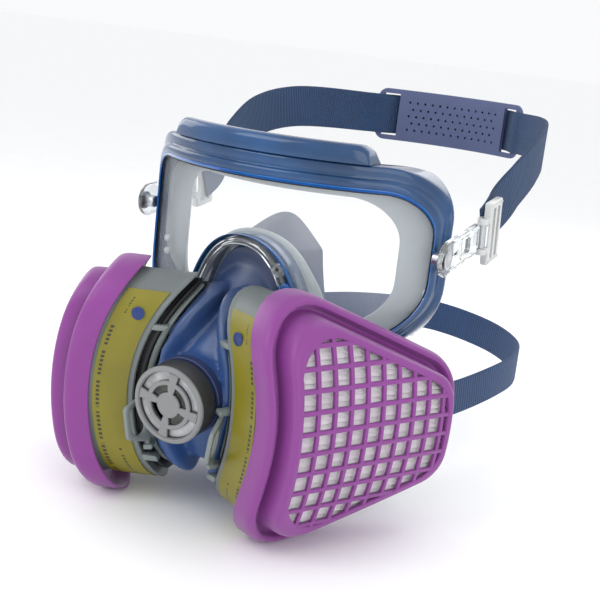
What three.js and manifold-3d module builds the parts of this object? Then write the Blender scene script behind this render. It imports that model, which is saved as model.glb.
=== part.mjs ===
// Full-face combination respirator: a wide goggle joined to an elastomeric half mask,
// with a front exhalation valve, two arched side cartridges, a head strap and a neck strap.
// Millimetres, +Z up, -Y forward, +X the wearer's left. The origin is the middle of the
// face opening, where the wearer's face holds the mask.
import * as THREE from 'three';
import { mergeVertices } from 'three/addons/utils/BufferGeometryUtils.js';
import Module from 'manifold-3d';

const wasm = await Module();
wasm.setup();

// ---------------------------------------------------------------- driving dimensions
const gap = 0.3; // clearance between touching pieces

// goggle
const goggleHalfWidth = 82;
const goggleTop = 57;
const goggleLow = -32;
const goggleFoot = -17; // lower edge beside the nose
const topCorner = 24;
const lowStraight = 46.8; // half the lower edge, up to where its corners begin
const lensFrontY = -46.5;
const lensWrap = 8; // how much the lens's radius is greater than half the goggle's width
const lensThick = 2.2;
const frameProud = 2.4; // frame face in front of the lens face
const frameDepth = 11;
const sideRim = 5;
const browRim = 12;
const lowRim = 6;
const lensLap = 2.2; // lens edge held in the frame groove
const notchTop = 13;
const notchHalf = 20;
const notchFoot = 25;
const noseRimWidth = 3.6;
const rimProud = 0.4;
const browVentHalf = 52;
const browVentHeight = 7;
const skirtWall = 2.4;
const skirtInset = 3;
const lipWidth = 14;
const faceRadius = 76; // forehead and temples that the skirt meets
const faceFrontY = -30;
const frameBackRun = 2.1; // the frame's ends run this far behind the lens face
const skirtBackRun = 4; // and the skirt runs this far behind them

// half mask
const maskWall = 3.2;
const maskTop = 27;
const maskLow = -103;
const maskHalfWidth = 45;
const maskFaceY = 8;
const maskChinY = -52;
const maskNoseY = -30;
const maskRidgeY = -40;
const maskBackDepth = 22;
const maskLip = 14;
const lipThick = 2.6;
const bossDepth = 26;
const bossTaper = 0.42;

// exhalation valve
const valveY = -99;
const valveZ = -53;
const valveTilt = 6;
const capRadius = 17.8;
const capDepth = 12;
const capWall = 2;
const capSpoke = 1.6;
const capHub = 5.5;
const seatThick = 2.4;
const seatRadius = 14.5;
const valveBore = 10.5;
const flapThick = 1.2;
const collarDepth = 18;
const collarFront = -capDepth - gap;
const clampWidth = 4.5;
const clampThick = 1.5;
const collarRadius = 16.5;

// side cartridges, in a frame of their own: x rearwards, y up, z outwards
const plateClear = 15.6; // from the rim of the valve cap out to the middle of a port plate
const plateY = -55.14; // middle of the port plate's inner face
const plateZ = -54.5;
const plateArch = 67; // arch radius of that face
const cartridgeTurn = 65; // outward axis, degrees from straight ahead
const tierFront = -29;
const tierRear = 64;
const tierTopSlope = -23;
const tierLowSlope = 16;
const tierHigh = 59;
const tierLow = -54;
const frontCornerRadius = 18;
const rearCornerRadius = 14;
const tierDepth = 8;
const skirtDepth = 10;
const coverSkirtOut = 8;
const coverWall = 2;
const flange = 2;
const grilleRim = 6;
const grillePitch = 9;
const grilleBar = 2;
const filterDepth = 5;
const bodyFront = -33; // housing outline, cut away at the top rear to clear the goggle
const bodyRear = 40;
const bodyHigh = 63;
const bodyLow = -56;
const bodyRearHigh = -1;
const bodyKneeU = 0;
const bodyCornerRadius = 20;
const bodyTopSlope = -23;
const bodyLowSlope = 22;
const housingDepth = 22;
const housingWall = 2;
const labelThick = 0.6;
const labelMargin = 3;
const labelEndU = 14;
const gasketDepth = 3.4;
const gasketWidth = 4;
const plateThick = 3;
const plateInset = 4;
const portU = 4; // middle of the port along the cartridge
const portV = 0;
const portRadius = 14;
const inhaleFlapRadius = 15;
const portLand = 3;
const portSag = 2.6; // the arched plate falls away this much at the port's edge
const inhaleSeatThick = 3;

// latch on the front edge of each port plate
const latchWide = 24;
const latchNarrow = 15;
const latchReach = 13;
const latchBar = 2.6;
const latchV = -12;
const latchU = -34.5;
const latchThick = 2.2;
const latchPin = 1.1;
const latchLean = 40;
const eyeWidth = 2.4;
const tongueOut = 3;
const eyeSize = 2.3;

// head harness
const armPivotY = -7;
const armPivotZ = 17;
const armThick = 2.6;
const armHeight = 20;
const armEndHeight = 15;
const armLength = 45;
const armRise = 9;
const pinRadius = 3;
const pinGrip = 4;
const pinHead = 4.5;
const buckleAxisX = 2.8;
const buckleKnuckle = 2.8;
const bucklePin = 1.3;
const barrelLength = 12;
const lugThick = 3;
const buckleHeight = 32;
const buckleLength = 16;
const buckleThick = 4;
const strapWidth = 25;
const strapThick = 1.6;
const padLength = 102;
const padHeight = 33;
const padThick = 3;
const padRadius = 95;
const padBackY = 207;
const padZ = 66;
const padSlot = 9.6;
const padEar = 4.4;
const neckWidth = 20;
const lugX = 46;
const lugY = 8;
const lugZ = -72;
const lugPlate = 3;

// ---------------------------------------------------------------- geometry helpers
const degrees = THREE.MathUtils.degToRad;

function solid(geometry) {
  const bare = geometry.clone();
  bare.deleteAttribute('normal');
  bare.deleteAttribute('uv');
  const merged = mergeVertices(bare, 1e-4);
  return new wasm.Manifold(new wasm.Mesh({
    numProp: 3,
    vertProperties: new Float32Array(merged.attributes.position.array),
    triVerts: new Uint32Array(merged.index.array),
  }));
}

function geometryOf(shape) {
  const { vertProperties, triVerts } = shape.getMesh();
  const geometry = new THREE.BufferGeometry();
  geometry.setAttribute('position', new THREE.BufferAttribute(vertProperties, 3));
  geometry.setIndex(new THREE.BufferAttribute(triVerts, 1));
  return geometry;
}

// moves each vertex of a geometry by a formula
function bend(geometry, place) {
  const position = geometry.attributes.position;
  const point = new THREE.Vector3();
  for (let i = 0; i < position.count; i += 1) {
    point.fromBufferAttribute(position, i);
    const moved = place(point);
    position.setXYZ(i, moved.x, moved.y, moved.z);
  }
  return geometry;
}

function box(x0, x1, y0, y1, z0, z1) {
  const geometry = new THREE.BoxGeometry(x1 - x0, y1 - y0, z1 - z0);
  return solid(geometry.translate((x0 + x1) / 2, (y0 + y1) / 2, (z0 + z1) / 2));
}

// cylinder along one axis, its middle at the given point
function rod(radius, length, axis, middle, sides = 20) {
  const geometry = new THREE.CylinderGeometry(radius, radius, length, sides);
  if (axis === 'x') geometry.rotateZ(Math.PI / 2);
  if (axis === 'z') geometry.rotateX(Math.PI / 2);
  return solid(geometry.translate(...middle));
}

// closed outline through corner points, each rounded by its own radius, grown by an offset
function outline(corners, offset = 0, cornerSteps = 4) {
  const count = corners.length;
  const lines = corners.map(([x0, y0], i) => {
    const [x1, y1] = corners[(i + 1) % count];
    const along = new THREE.Vector2(x1 - x0, y1 - y0).normalize();
    const out = new THREE.Vector2(along.y, -along.x);
    return { start: new THREE.Vector2(x0, y0).addScaledVector(out, offset), along };
  });
  const points = lines.flatMap((line, i) => {
    const before = lines[(i + count - 1) % count];
    const cross = before.along.cross(line.along);
    const toLine = line.start.clone().sub(before.start);
    const corner = before.start.clone()
      .addScaledVector(before.along, toLine.cross(line.along) / cross);
    const angle = Math.atan2(cross, before.along.dot(line.along));
    const radius = Math.max(0.5, corners[i][2] + Math.sign(angle) * offset);
    const first = corner.clone()
      .addScaledVector(before.along, -radius * Math.tan(Math.abs(angle) / 2));
    const inward = new THREE.Vector2(-before.along.y, before.along.x);
    const middle = first.clone().addScaledVector(inward, radius * Math.sign(angle));
    return Array.from({ length: cornerSteps + 1 }, (_, step) => first.clone()
      .rotateAround(middle, (angle * step) / cornerSteps));
  });
  return new THREE.Shape(points);
}

function extrude(shape, from, to, curveSegments = 3) {
  const geometry = new THREE.ExtrudeGeometry(shape, {
    depth: to - from, bevelEnabled: false, curveSegments,
  });
  return solid(geometry.translate(0, 0, from));
}

// a band that follows a curve, its face turned away from the middle of the head
function ribbon(curve, width, thick, steps) {
  const geometry = new THREE.BoxGeometry(1, thick, width, steps, 1, 1);
  return bend(geometry, (point) => {
    const t = point.x + 0.5;
    const along = curve.getTangent(t);
    const out = new THREE.Vector3(along.y, -along.x, 0).normalize();
    const across = new THREE.Vector3().crossVectors(along, out).normalize();
    return curve.getPoint(t).addScaledVector(out, point.y).addScaledVector(across, point.z);
  });
}

// ---------------------------------------------------------------- materials
const material = {
  blueRubber: () => paint('#3f5a9a', 0.5),
  navyRubber: () => paint('#26334f', 0.5),
  frameBlue: () => paint('#1f4a80', 0.25),
  clear: () => paint('#e8eef0', 0.08),
  skirtGrey: () => paint('#aab4b6', 0.5),
  magenta: () => paint('#a546aa', 0.45),
  media: () => paint('#e6e2e4', 0.9),
  housingGrey: () => paint('#8a918e', 0.5),
  label: () => paint('#98903a', 0.55),
  black: () => paint('#15161a', 0.7),
  carbon: () => paint('#1b1b1c', 0.95),
  plateGrey: () => paint('#a4aaaa', 0.45),
  capGrey: () => paint('#8d8f90', 0.45),
  silicone: () => paint('#d5d5d0', 0.4),
  webbing: () => paint('#35527f', 0.85),
  padBlue: () => paint('#4b5479', 0.6),
  buckleGrey: () => paint('#c9cbca', 0.35),
  steel: () => paint('#b9bcc0', 0.3, 0.9),
};

function paint(color, roughness, metalness = 0) {
  return new THREE.MeshStandardMaterial({ color, roughness, metalness });
}

const group = new THREE.Group();

function add(parent, name, shape, look) {
  const geometry = shape.isBufferGeometry ? shape : geometryOf(shape);
  const mesh = new THREE.Mesh(geometry, look);
  mesh.name = name;
  parent.add(mesh);
  return mesh;
}

// ---------------------------------------------------------------- goggle
// front outline of the goggle: round corners and a nose notch in the lower edge
function goggleOutline(side, top, low, notch) {
  const shape = new THREE.Shape();
  const half = goggleHalfWidth - side;
  const high = goggleTop - top;
  const base = goggleLow + low;
  const foot = goggleFoot + low;
  const upper = topCorner - side;
  const lower = goggleHalfWidth - lowStraight - side;
  const notchX = notchFoot + notch;
  const apex = notchTop + notch;
  const rise = (apex - foot) * 0.5;
  const pull = notchHalf + notch;
  shape.moveTo(0, high);
  shape.lineTo(-half + upper, high);
  shape.absarc(-half + upper, high - upper, upper, Math.PI / 2, Math.PI, false);
  shape.lineTo(-half, base + lower);
  shape.absarc(-half + lower, base + lower, lower, Math.PI, Math.PI * 1.5, false);
  shape.lineTo(-notchX, foot);
  shape.bezierCurveTo(-pull, foot + rise, -pull * 0.7, apex, 0, apex);
  shape.bezierCurveTo(pull * 0.7, apex, pull, foot + rise, notchX, foot);
  shape.lineTo(half - lower, base);
  shape.absarc(half - lower, base + lower, lower, -Math.PI / 2, 0, false);
  shape.lineTo(half, high - upper);
  shape.absarc(half - upper, high - upper, upper, 0, Math.PI / 2, false);
  shape.closePath();
  return shape;
}

// an XZ outline pushed along Y
function prismXZ(shape, from, to, curveSegments = 4) {
  const geometry = new THREE.ExtrudeGeometry(shape, {
    depth: to - from, bevelEnabled: false, curveSegments,
  });
  return solid(geometry.rotateX(Math.PI / 2).translate(0, to, 0));
}

function frontPrism(shape) {
  return prismXZ(shape, -90, 50);
}

const lensRadius = goggleHalfWidth + lensWrap;
const lensMiddleY = lensFrontY + lensRadius;
const frameBackY = lensMiddleY - Math.sqrt((lensRadius + frameProud) ** 2 - goggleHalfWidth ** 2)
  + frameBackRun;
const skirtBackY = frameBackY + skirtBackRun;

function lensDrum(radius) {
  const geometry = new THREE.CylinderGeometry(radius, radius, 260, 40);
  return solid(geometry.rotateX(Math.PI / 2).translate(0, lensMiddleY, 0));
}

function lensShell(front, back) {
  return lensDrum(lensRadius + front).subtract(lensDrum(lensRadius - back))
    .intersect(box(-150, 150, -90, frameBackY, -90, 120));
}

const noseRimGap = noseRimWidth + gap;
const frameShape = goggleOutline(0, 0, 0, noseRimGap);
const windowShape = goggleOutline(sideRim, browRim, lowRim, noseRimGap + 3);
const lensShape = goggleOutline(sideRim - lensLap, browRim - lensLap, lowRim - lensLap,
  noseRimGap + 3 - lensLap);
const grooveShape = goggleOutline(sideRim - lensLap - gap, browRim - lensLap - gap,
  lowRim - lensLap - gap, noseRimGap + 3 - lensLap - gap);

const frameBlank = frontPrism(frameShape).intersect(lensShell(frameProud, frameDepth));
const groove = frontPrism(grooveShape).intersect(lensShell(gap, lensThick + gap));
const armBores = rod(pinRadius + gap, 2 * goggleHalfWidth + 8, 'x', [0, armPivotY, armPivotZ], 24);
const goggleFrame = frameBlank.subtract(frontPrism(windowShape)).subtract(groove)
  .subtract(armBores);
add(group, 'goggle_frame', goggleFrame, material.frameBlue());

const lens = frontPrism(lensShape).intersect(lensShell(0, lensThick));
add(group, 'goggle_lens', lens, material.clear());

const rimOuter = frontPrism(goggleOutline(0, 0, 0, noseRimGap - gap));
const rimInner = frontPrism(goggleOutline(0, 0, 0, 0));
const rimShell = lensShell(frameProud + rimProud, frameDepth);
const noseRim = rimInner.subtract(rimOuter).intersect(rimShell)
  .intersect(box(-notchFoot - noseRimGap, notchFoot + noseRimGap, -90, 0, goggleLow, goggleTop));
add(group, 'nose_bridge_rim', noseRim, material.clear());

const ventShell = lensDrum(lensRadius + frameProud).subtract(lensDrum(lensRadius - 7));
const brow = extrude(outline([
  [-browVentHalf, goggleTop + gap, 2], [browVentHalf, goggleTop + gap, 2],
  [browVentHalf - 7, goggleTop + browVentHeight, 5],
  [-browVentHalf + 7, goggleTop + browVentHeight, 5],
]), 0, 140);
const browCover = brow.rotate([90, 0, 0]).intersect(ventShell)
  .intersect(box(-100, 100, -90, 0, 0, 120));
add(group, 'brow_vent_cover', browCover, material.frameBlue());

function faceDrum(shift) {
  const geometry = new THREE.CylinderGeometry(faceRadius, faceRadius, 260, 40);
  return solid(geometry.rotateX(Math.PI / 2).translate(0, faceFrontY + faceRadius + shift, 0));
}

const skirtShape = goggleOutline(skirtInset, skirtInset, skirtInset, noseRimGap);
const skirtBore = goggleOutline(skirtInset + skirtWall, skirtInset + skirtWall,
  skirtInset + skirtWall, noseRimGap + skirtWall);
const openingShape = goggleOutline(skirtInset + lipWidth + 6, skirtInset + lipWidth,
  skirtInset + 8, noseRimGap + 8);
const skirtSpan = lensDrum(lensRadius - frameDepth - gap)
  .intersect(box(-150, 150, -90, skirtBackY, -90, 90));
const goggleSkirt = frontPrism(skirtShape).intersect(skirtSpan).subtract(faceDrum(0))
  .subtract(frontPrism(skirtBore).intersect(box(-150, 150, -90, skirtBackY - skirtWall, -90, 90))
    .subtract(faceDrum(-skirtWall)))
  .subtract(frontPrism(openingShape));
add(group, 'goggle_skirt', goggleSkirt, material.skirtGrey());

// ---------------------------------------------------------------- half mask
// a ball shaped into the mask: narrow at the nose, wide at the cheeks, round at the chin
function maskBody(inset) {
  const ball = new THREE.SphereGeometry(1, 16, 12).rotateX(Math.PI / 2);
  const high = maskTop - inset;
  const low = maskLow + inset;
  return solid(bend(ball, (point) => {
    const z = THREE.MathUtils.mapLinear(point.z, -1, 1, low, high);
    const level = (z - maskLow) / (maskTop - maskLow);
    const size = Math.sqrt(Math.max(1 - point.z * point.z, 0));
    const fill = Math.min(1, size * 1.5);
    const half = (maskHalfWidth - inset) * (1 - 0.6 * level ** 1.7 - 0.3 * (1 - level) ** 3);
    const ridge = maskRidgeY * Math.exp(-(((level - 0.42) / 0.32) ** 2));
    const front = THREE.MathUtils.lerp(maskChinY, maskNoseY, level) + ridge + inset;
    const angle = Math.atan2(point.x, -point.y);
    const depth = Math.abs(angle) < Math.PI / 2 ? maskFaceY - front : maskBackDepth;
    return new THREE.Vector3(
      half * fill * Math.sin(angle),
      maskFaceY - depth * fill * Math.cos(angle),
      z,
    );
  }));
}

// the face side of the mask: nose bridge, cheeks and chin
function wearerFace(grow = 0) {
  const ball = new THREE.SphereGeometry(1, 16, 12).rotateX(Math.PI / 2);
  return solid(bend(ball, (point) => new THREE.Vector3(
    point.x * (64 + grow), 62 + point.y * (86 + grow), -36 + point.z * (100 + grow),
  )));
}

// depths of the cartridge's layers, measured inwards from the crown of the cover
const coverBack = tierDepth + skirtDepth;
const housingFront = coverBack - 4;
const housingBack = coverBack + housingDepth;
const gasketFront = housingBack + gap;
const gasketBack = gasketFront + gasketDepth;
const plateFront = gasketBack + gap;
const plateBack = plateFront + plateThick;
const archRadius = plateArch + plateBack;
const latchArch = archRadius - (plateFront + plateBack) / 2;

// the cartridge frame on the wearer's left, built out from the port plate; the other side
// mirrors it
const turn = degrees(cartridgeTurn);
const cartridgeFrame = new THREE.Matrix4().makeBasis(
  new THREE.Vector3(Math.cos(turn), Math.sin(turn), 0),
  new THREE.Vector3(0, 0, 1),
  new THREE.Vector3(Math.sin(turn), -Math.cos(turn), 0),
).setPosition(
  capRadius + plateClear + Math.sin(turn) * plateBack,
  plateY - Math.cos(turn) * plateBack,
  plateZ,
);

// the valve frame: z forwards and a little down, y up
const tilt = degrees(valveTilt);
const valveFrame = new THREE.Matrix4().makeBasis(
  new THREE.Vector3(1, 0, 0),
  new THREE.Vector3(0, -Math.sin(tilt), Math.cos(tilt)),
  new THREE.Vector3(0, -Math.cos(tilt), -Math.sin(tilt)),
).setPosition(0, valveY, valveZ);

function placed(shape, frame) {
  return shape.transform(frame.elements);
}

function mirrored(shape) {
  return shape.mirror([1, 0, 0]);
}

// cover outline: a rounded trapezoid with a long front edge and a short rear edge
function tierOutline(offset) {
  const run = tierRear - tierFront;
  const rearHigh = tierHigh + run * Math.tan(degrees(tierTopSlope));
  const rearLow = tierLow + run * Math.tan(degrees(tierLowSlope));
  return outline([
    [tierFront, tierLow, frontCornerRadius], [tierRear, rearLow, rearCornerRadius],
    [tierRear, rearHigh, rearCornerRadius], [tierFront, tierHigh, frontCornerRadius],
  ], offset);
}

// housing outline: as the cover's at the front, with a knee in its top edge
function bodyOutline(offset) {
  const kneeV = bodyHigh + (bodyKneeU - bodyFront) * Math.tan(degrees(bodyTopSlope));
  const rearLow = bodyLow + (bodyRear - bodyFront) * Math.tan(degrees(bodyLowSlope));
  return outline([
    [bodyFront, bodyLow, bodyCornerRadius], [bodyRear, rearLow, rearCornerRadius - 3],
    [bodyRear, bodyRearHigh, rearCornerRadius - 3], [bodyKneeU, kneeV, rearCornerRadius - 2],
    [bodyFront, bodyHigh, bodyCornerRadius],
  ], offset);
}

// everything nearer than a given depth to the arch that all cartridge layers share
function archDrum(depth) {
  const geometry = new THREE.CylinderGeometry(archRadius - depth, archRadius - depth, 300, 40);
  return solid(geometry.rotateZ(Math.PI / 2).translate(0, 0, -archRadius));
}

// one arched layer of the cartridge between two depths
function layer(shape, near, far) {
  return extrude(shape, -90, 10).intersect(archDrum(near)).subtract(archDrum(far))
    .intersect(box(-90, 120, -80, 80, -80, 5));
}

// the space the goggle front takes round the nose, kept clear of the mask
const goggleSpace = frontPrism(goggleOutline(-4, -4, -20, -gap))
  .intersect(lensShell(frameProud + rimProud + gap, frameDepth + gap));

function maskShell() {
  const outer = maskBody(0);
  const lip = outer.intersect(wearerFace(lipThick)).subtract(maskBody(maskLip));
  const boss = placed(portBoss(), cartridgeFrame);
  const collar = placed(rod(collarRadius, collarDepth, 'z',
    [0, 0, collarFront - collarDepth / 2]), valveFrame);
  const bore = placed(rod(valveBore, 60, 'z', [0, 0, -30]), valveFrame);
  const port = placed(rod(portRadius + portLand, 80, 'z', [portU, portV, -70]), cartridgeFrame);
  return outer.add(boss).add(mirrored(boss)).add(collar)
    .subtract(maskBody(maskWall)).add(lip)
    .subtract(wearerFace()).subtract(bore).subtract(port).subtract(mirrored(port))
    .subtract(goggleSpace);
}

// the wide flange that carries the port plate, drawn in towards the mask
function portBoss() {
  const geometry = new THREE.ExtrudeGeometry(bodyOutline(-plateInset), {
    depth: bossDepth, bevelEnabled: false, steps: 3, curveSegments: 3,
  });
  const tapered = bend(geometry, (point) => {
    const deep = Math.max(1 - point.z / bossDepth, 0);
    const scale = 1 - bossTaper * deep ** 1.5;
    return new THREE.Vector3(
      portU + (point.x - portU) * scale, portV + (point.y - portV) * scale,
      point.z - plateBack - bossDepth + 1,
    );
  });
  return solid(tapered).intersect(archDrum(plateBack + gap));
}

add(group, 'half_mask_shell', maskShell(), material.blueRubber());

// ---------------------------------------------------------------- exhalation valve
const valveGroup = new THREE.Group();
valveGroup.applyMatrix4(valveFrame);
group.add(valveGroup);

// a flat part of the valve: prism between two depths on the valve axis
function disc(radius, from, to, sides = 24) {
  return rod(radius, to - from, 'z', [0, 0, (from + to) / 2], sides);
}

function arcWindow(inner, outer, start, sweep, from, to) {
  const shape = new THREE.Shape();
  shape.absarc(0, 0, outer, start, start + sweep, false);
  shape.absarc(0, 0, inner, start + sweep, start, true);
  shape.closePath();
  return extrude(shape, from, to, 4);
}

// front cap: a drum with eight curved windows round a plain hub
function valveCap() {
  let cap = disc(capRadius, -capDepth, 0).subtract(disc(capRadius - capWall, -capDepth - 1, -capWall));
  const quarter = Math.PI / 2;
  for (let i = 0; i < 4; i += 1) {
    const start = i * quarter + capSpoke / capRadius;
    const sweep = quarter - 2 * capSpoke / capRadius;
    cap = cap.subtract(arcWindow(capRadius - 6, capRadius - 2.5, start, sweep, -capWall - 1, 1));
    cap = cap.subtract(arcWindow(capHub, capRadius - 8, start + 0.1, sweep - 0.2, -capWall - 1, 1));
  }
  return cap;
}

// seat: a ring with a cross and a stem for the flap
function valveSeat() {
  let seat = disc(seatRadius, seatFront - seatThick, seatFront).subtract(
    disc(valveBore - 1, seatFront - seatThick - 1, seatFront + 1),
  );
  for (let i = 0; i < 2; i += 1) {
    const spoke = box(-valveBore, valveBore, -0.9, 0.9, seatFront - seatThick, seatFront);
    seat = seat.add(spoke.rotate([0, 0, 90 * i + 45]));
  }
  return seat.add(disc(2.2, seatFront - seatThick, seatFront, 16));
}

const seatFront = collarFront + seatThick + gap;
const flapBack = seatFront + gap;
add(valveGroup, 'exhalation_valve_cap', valveCap(), material.capGrey());
add(valveGroup, 'exhalation_valve_seat', valveSeat(), material.capGrey());
add(valveGroup, 'exhalation_valve_flap', disc(seatRadius - 2, flapBack, flapBack + flapThick),
  material.silicone());

// clamp band round the rubber collar
const clampFront = collarFront - 1;
const clamp = disc(collarRadius + gap + clampThick, clampFront - clampWidth, clampFront)
  .subtract(disc(collarRadius + gap, clampFront - clampWidth - 1, clampFront + 1));
add(valveGroup, 'valve_clamp_ring', clamp, material.navyRubber());

// ---------------------------------------------------------------- one side
const cellHalf = (grillePitch - grilleBar) / 2;

// a lattice of square cells inside the grille's own outline
function grilleCells() {
  const cells = [];
  const deep = -tierDepth - 20;
  for (let u = tierFront; u < tierRear + grillePitch; u += grillePitch) {
    for (let v = -6 * grillePitch; v < 7 * grillePitch; v += grillePitch) {
      cells.push(box(u - cellHalf, u + cellHalf, v - cellHalf, v + cellHalf, deep, 5));
    }
  }
  const all = cells.reduce((sum, cell) => sum.add(cell));
  return all.intersect(extrude(tierOutline(-grilleRim), deep, 5));
}

function filterCover() {
  const skirtInner = tierOutline(coverSkirtOut - coverWall);
  return layer(tierOutline(0), 0, tierDepth + 1)
    .add(layer(tierOutline(coverSkirtOut), tierDepth, coverBack))
    .subtract(layer(tierOutline(-coverWall), coverWall, tierDepth + coverWall + 1))
    .subtract(layer(skirtInner, tierDepth + coverWall, coverBack + 1))
    .subtract(grilleCells().intersect(archDrum(-5).subtract(archDrum(coverWall + 1))));
}

function pleatedFilter() {
  return layer(tierOutline(-coverWall - gap), coverWall + gap, coverWall + gap + filterDepth);
}

// open cup with a flange that the cover fits over and a round port in its floor
function housing() {
  return layer(bodyOutline(0), housingFront, housingBack)
    .add(layer(tierOutline(coverSkirtOut - coverWall - gap), housingFront, housingFront + flange))
    .subtract(layer(bodyOutline(-housingWall), housingFront - 1, housingBack - housingWall))
    .subtract(portRod(portRadius));
}

function portRod(radius, near = 20, far = 90) {
  return rod(radius, far - near, 'z', [portU, portV, -(near + far) / 2], 24);
}

function carbonBed() {
  return layer(bodyOutline(-housingWall - gap), housingFront + 3, housingBack - housingWall - gap);
}

function housingLabel() {
  const near = coverBack + labelMargin;
  const far = housingBack - labelMargin;
  return layer(bodyOutline(gap + labelThick), near, far)
    .subtract(layer(bodyOutline(gap), near - 1, far + 1))
    .intersect(box(-90, labelEndU, -80, 80, -90, 0));
}

function gasket() {
  return layer(bodyOutline(-plateInset + 2), gasketFront, gasketBack)
    .subtract(layer(bodyOutline(-plateInset + 2 - gasketWidth), gasketFront - 1, gasketBack + 1));
}

// moves a shape from the latch's own frame onto the arched plate
function onLatch(shape) {
  const angle = Math.asin(latchV / latchArch);
  return shape.rotate([-THREE.MathUtils.radToDeg(angle), 0, 0])
    .translate([latchU, latchV, latchArch * Math.cos(angle) - archRadius]);
}

// port plate with two eyes that the latch hinges in
function portPlate() {
  const half = latchWide / 2 + gap;
  const tongue = layer(bodyOutline(tongueOut), plateFront, plateBack)
    .intersect(box(latchU - 1, latchU + plateInset + 8, latchV - half - eyeWidth,
      latchV + half + eyeWidth, -90, 0));
  const eyes = box(-eyeSize, eyeSize, -half - eyeWidth, half + eyeWidth, -eyeSize, eyeSize);
  const notch = box(-9, eyeSize + 0.6, -half, half, -9, 9);
  const pinBore = rod(latchPin + gap, latchWide + 6 * eyeWidth, 'y', [0, 0, 0], 12);
  return layer(bodyOutline(-plateInset), plateFront, plateBack).add(tongue).add(onLatch(eyes))
    .subtract(onLatch(notch)).subtract(onLatch(pinBore)).subtract(portRod(portRadius));
}

// trapezoid loop on a cross pin; it stands away from the housing
function latchClip() {
  const outer = outline([
    [-latchReach, -latchNarrow / 2, 2], [0, -latchWide / 2, 1],
    [0, latchWide / 2, 1], [-latchReach, latchNarrow / 2, 2],
  ]);
  const inner = outline([
    [-latchReach + latchBar, -latchNarrow / 2 + latchBar * 0.7, 1],
    [-latchBar, -latchWide / 2 + latchBar, 0.6],
    [-latchBar, latchWide / 2 - latchBar, 0.6],
    [-latchReach + latchBar, latchNarrow / 2 - latchBar * 0.7, 1],
  ]);
  const loop = extrude(outer, -latchThick / 2, latchThick / 2, 3)
    .subtract(extrude(inner, -latchThick, latchThick, 3)).translate([latchBar / 2, 0, 0]);
  const pin = rod(latchPin, latchWide + 2 * eyeWidth - 1, 'y', [0, 0, 0], 12);
  return onLatch(loop.add(pin).rotate([0, latchLean, 0]));
}

const seatNear = plateBack + portSag + gap;
const seatFar = seatNear + inhaleSeatThick;

// port seat: ring and cross that the inhalation flap closes against
function inhalationSeat() {
  const outer = portRod(portRadius + portLand - gap, seatNear, seatFar);
  const bar = box(-portRadius, portRadius, -1, 1, -seatFar, -seatNear);
  return outer.subtract(portRod(portRadius - 2, seatNear - 1, seatFar + 1))
    .add(bar.translate([portU, portV, 0]))
    .add(bar.rotate([0, 0, 90]).translate([portU, portV, 0]));
}

function inhalationFlap() {
  return portRod(inhaleFlapRadius, seatFar + gap, seatFar + gap + flapThick);
}

// ---------------------------------------------------------------- head harness pieces
// clear arm in the arm frame: y rearwards from the pivot, z up
function strapArm() {
  const plate = outline([
    [-armHeight / 2, -armHeight / 2, armHeight / 2 - 1], [armLength - 3, -armEndHeight / 2, 3],
    [armLength - 3, armEndHeight / 2, 3], [-armHeight / 2, armHeight / 2, armHeight / 2 - 1],
  ]);
  const slot = outline([
    [armLength * 0.42, -4, 2], [armLength * 0.66, -4, 2],
    [armLength * 0.66, 4, 2], [armLength * 0.42, 4, 2],
  ]);
  const flat = extrude(plate, 0, armThick).subtract(extrude(slot, -1, armThick + 1))
    .rotate([90, 0, 90]);
  const barrel = rod(buckleKnuckle, barrelLength, 'z', [buckleAxisX, armLength, 0], 16);
  const web = box(0, armThick, armLength - 5, armLength, -barrelLength / 2, barrelLength / 2);
  return flat.add(web).add(barrel)
    .subtract(rod(bucklePin + gap, armHeight * 3, 'z', [buckleAxisX, armLength, 0], 12))
    .subtract(rod(pinRadius + gap, 30, 'x', [0, 0, 0], 24));
}

function armPin() {
  return rod(pinRadius, armThick + pinGrip, 'x', [(armThick - pinGrip) / 2, 0, 0], 16)
    .add(rod(pinHead, 1.6, 'x', [armThick + gap + 0.8, 0, 0], 16))
    .add(rod(pinRadius, 1, 'x', [armThick + 0.3, 0, 0], 16));
}

// two lugs on the pin, a ladder of bars behind them
function strapBuckle() {
  const front = armLength + buckleKnuckle + gap;
  const x0 = buckleAxisX - 1;
  const x1 = x0 + buckleThick;
  const half = buckleHeight / 2;
  let body = box(x0, x1, front, front + buckleLength, -half, half);
  for (const start of [3, 9]) {
    body = body.subtract(box(x0 - 1, x1 + 1, front + start, front + start + 3.4,
      -half + 3, half - 3));
  }
  for (const side of [-1, 1]) {
    const z0 = side > 0 ? barrelLength / 2 + gap : -barrelLength / 2 - gap - lugThick;
    const lug = box(x0, buckleAxisX + buckleKnuckle, armLength - 0.5, front + 1, z0, z0 + lugThick)
      .add(rod(buckleKnuckle, lugThick, 'z', [buckleAxisX, armLength, z0 + lugThick / 2], 16));
    body = body.add(lug);
  }
  return body.subtract(rod(bucklePin + gap, armHeight * 3, 'z', [buckleAxisX, armLength, 0], 12));
}

function bucklePinRod() {
  return rod(bucklePin, barrelLength + 2 * lugThick + 1, 'z', [buckleAxisX, armLength, 0], 12);
}

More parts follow.
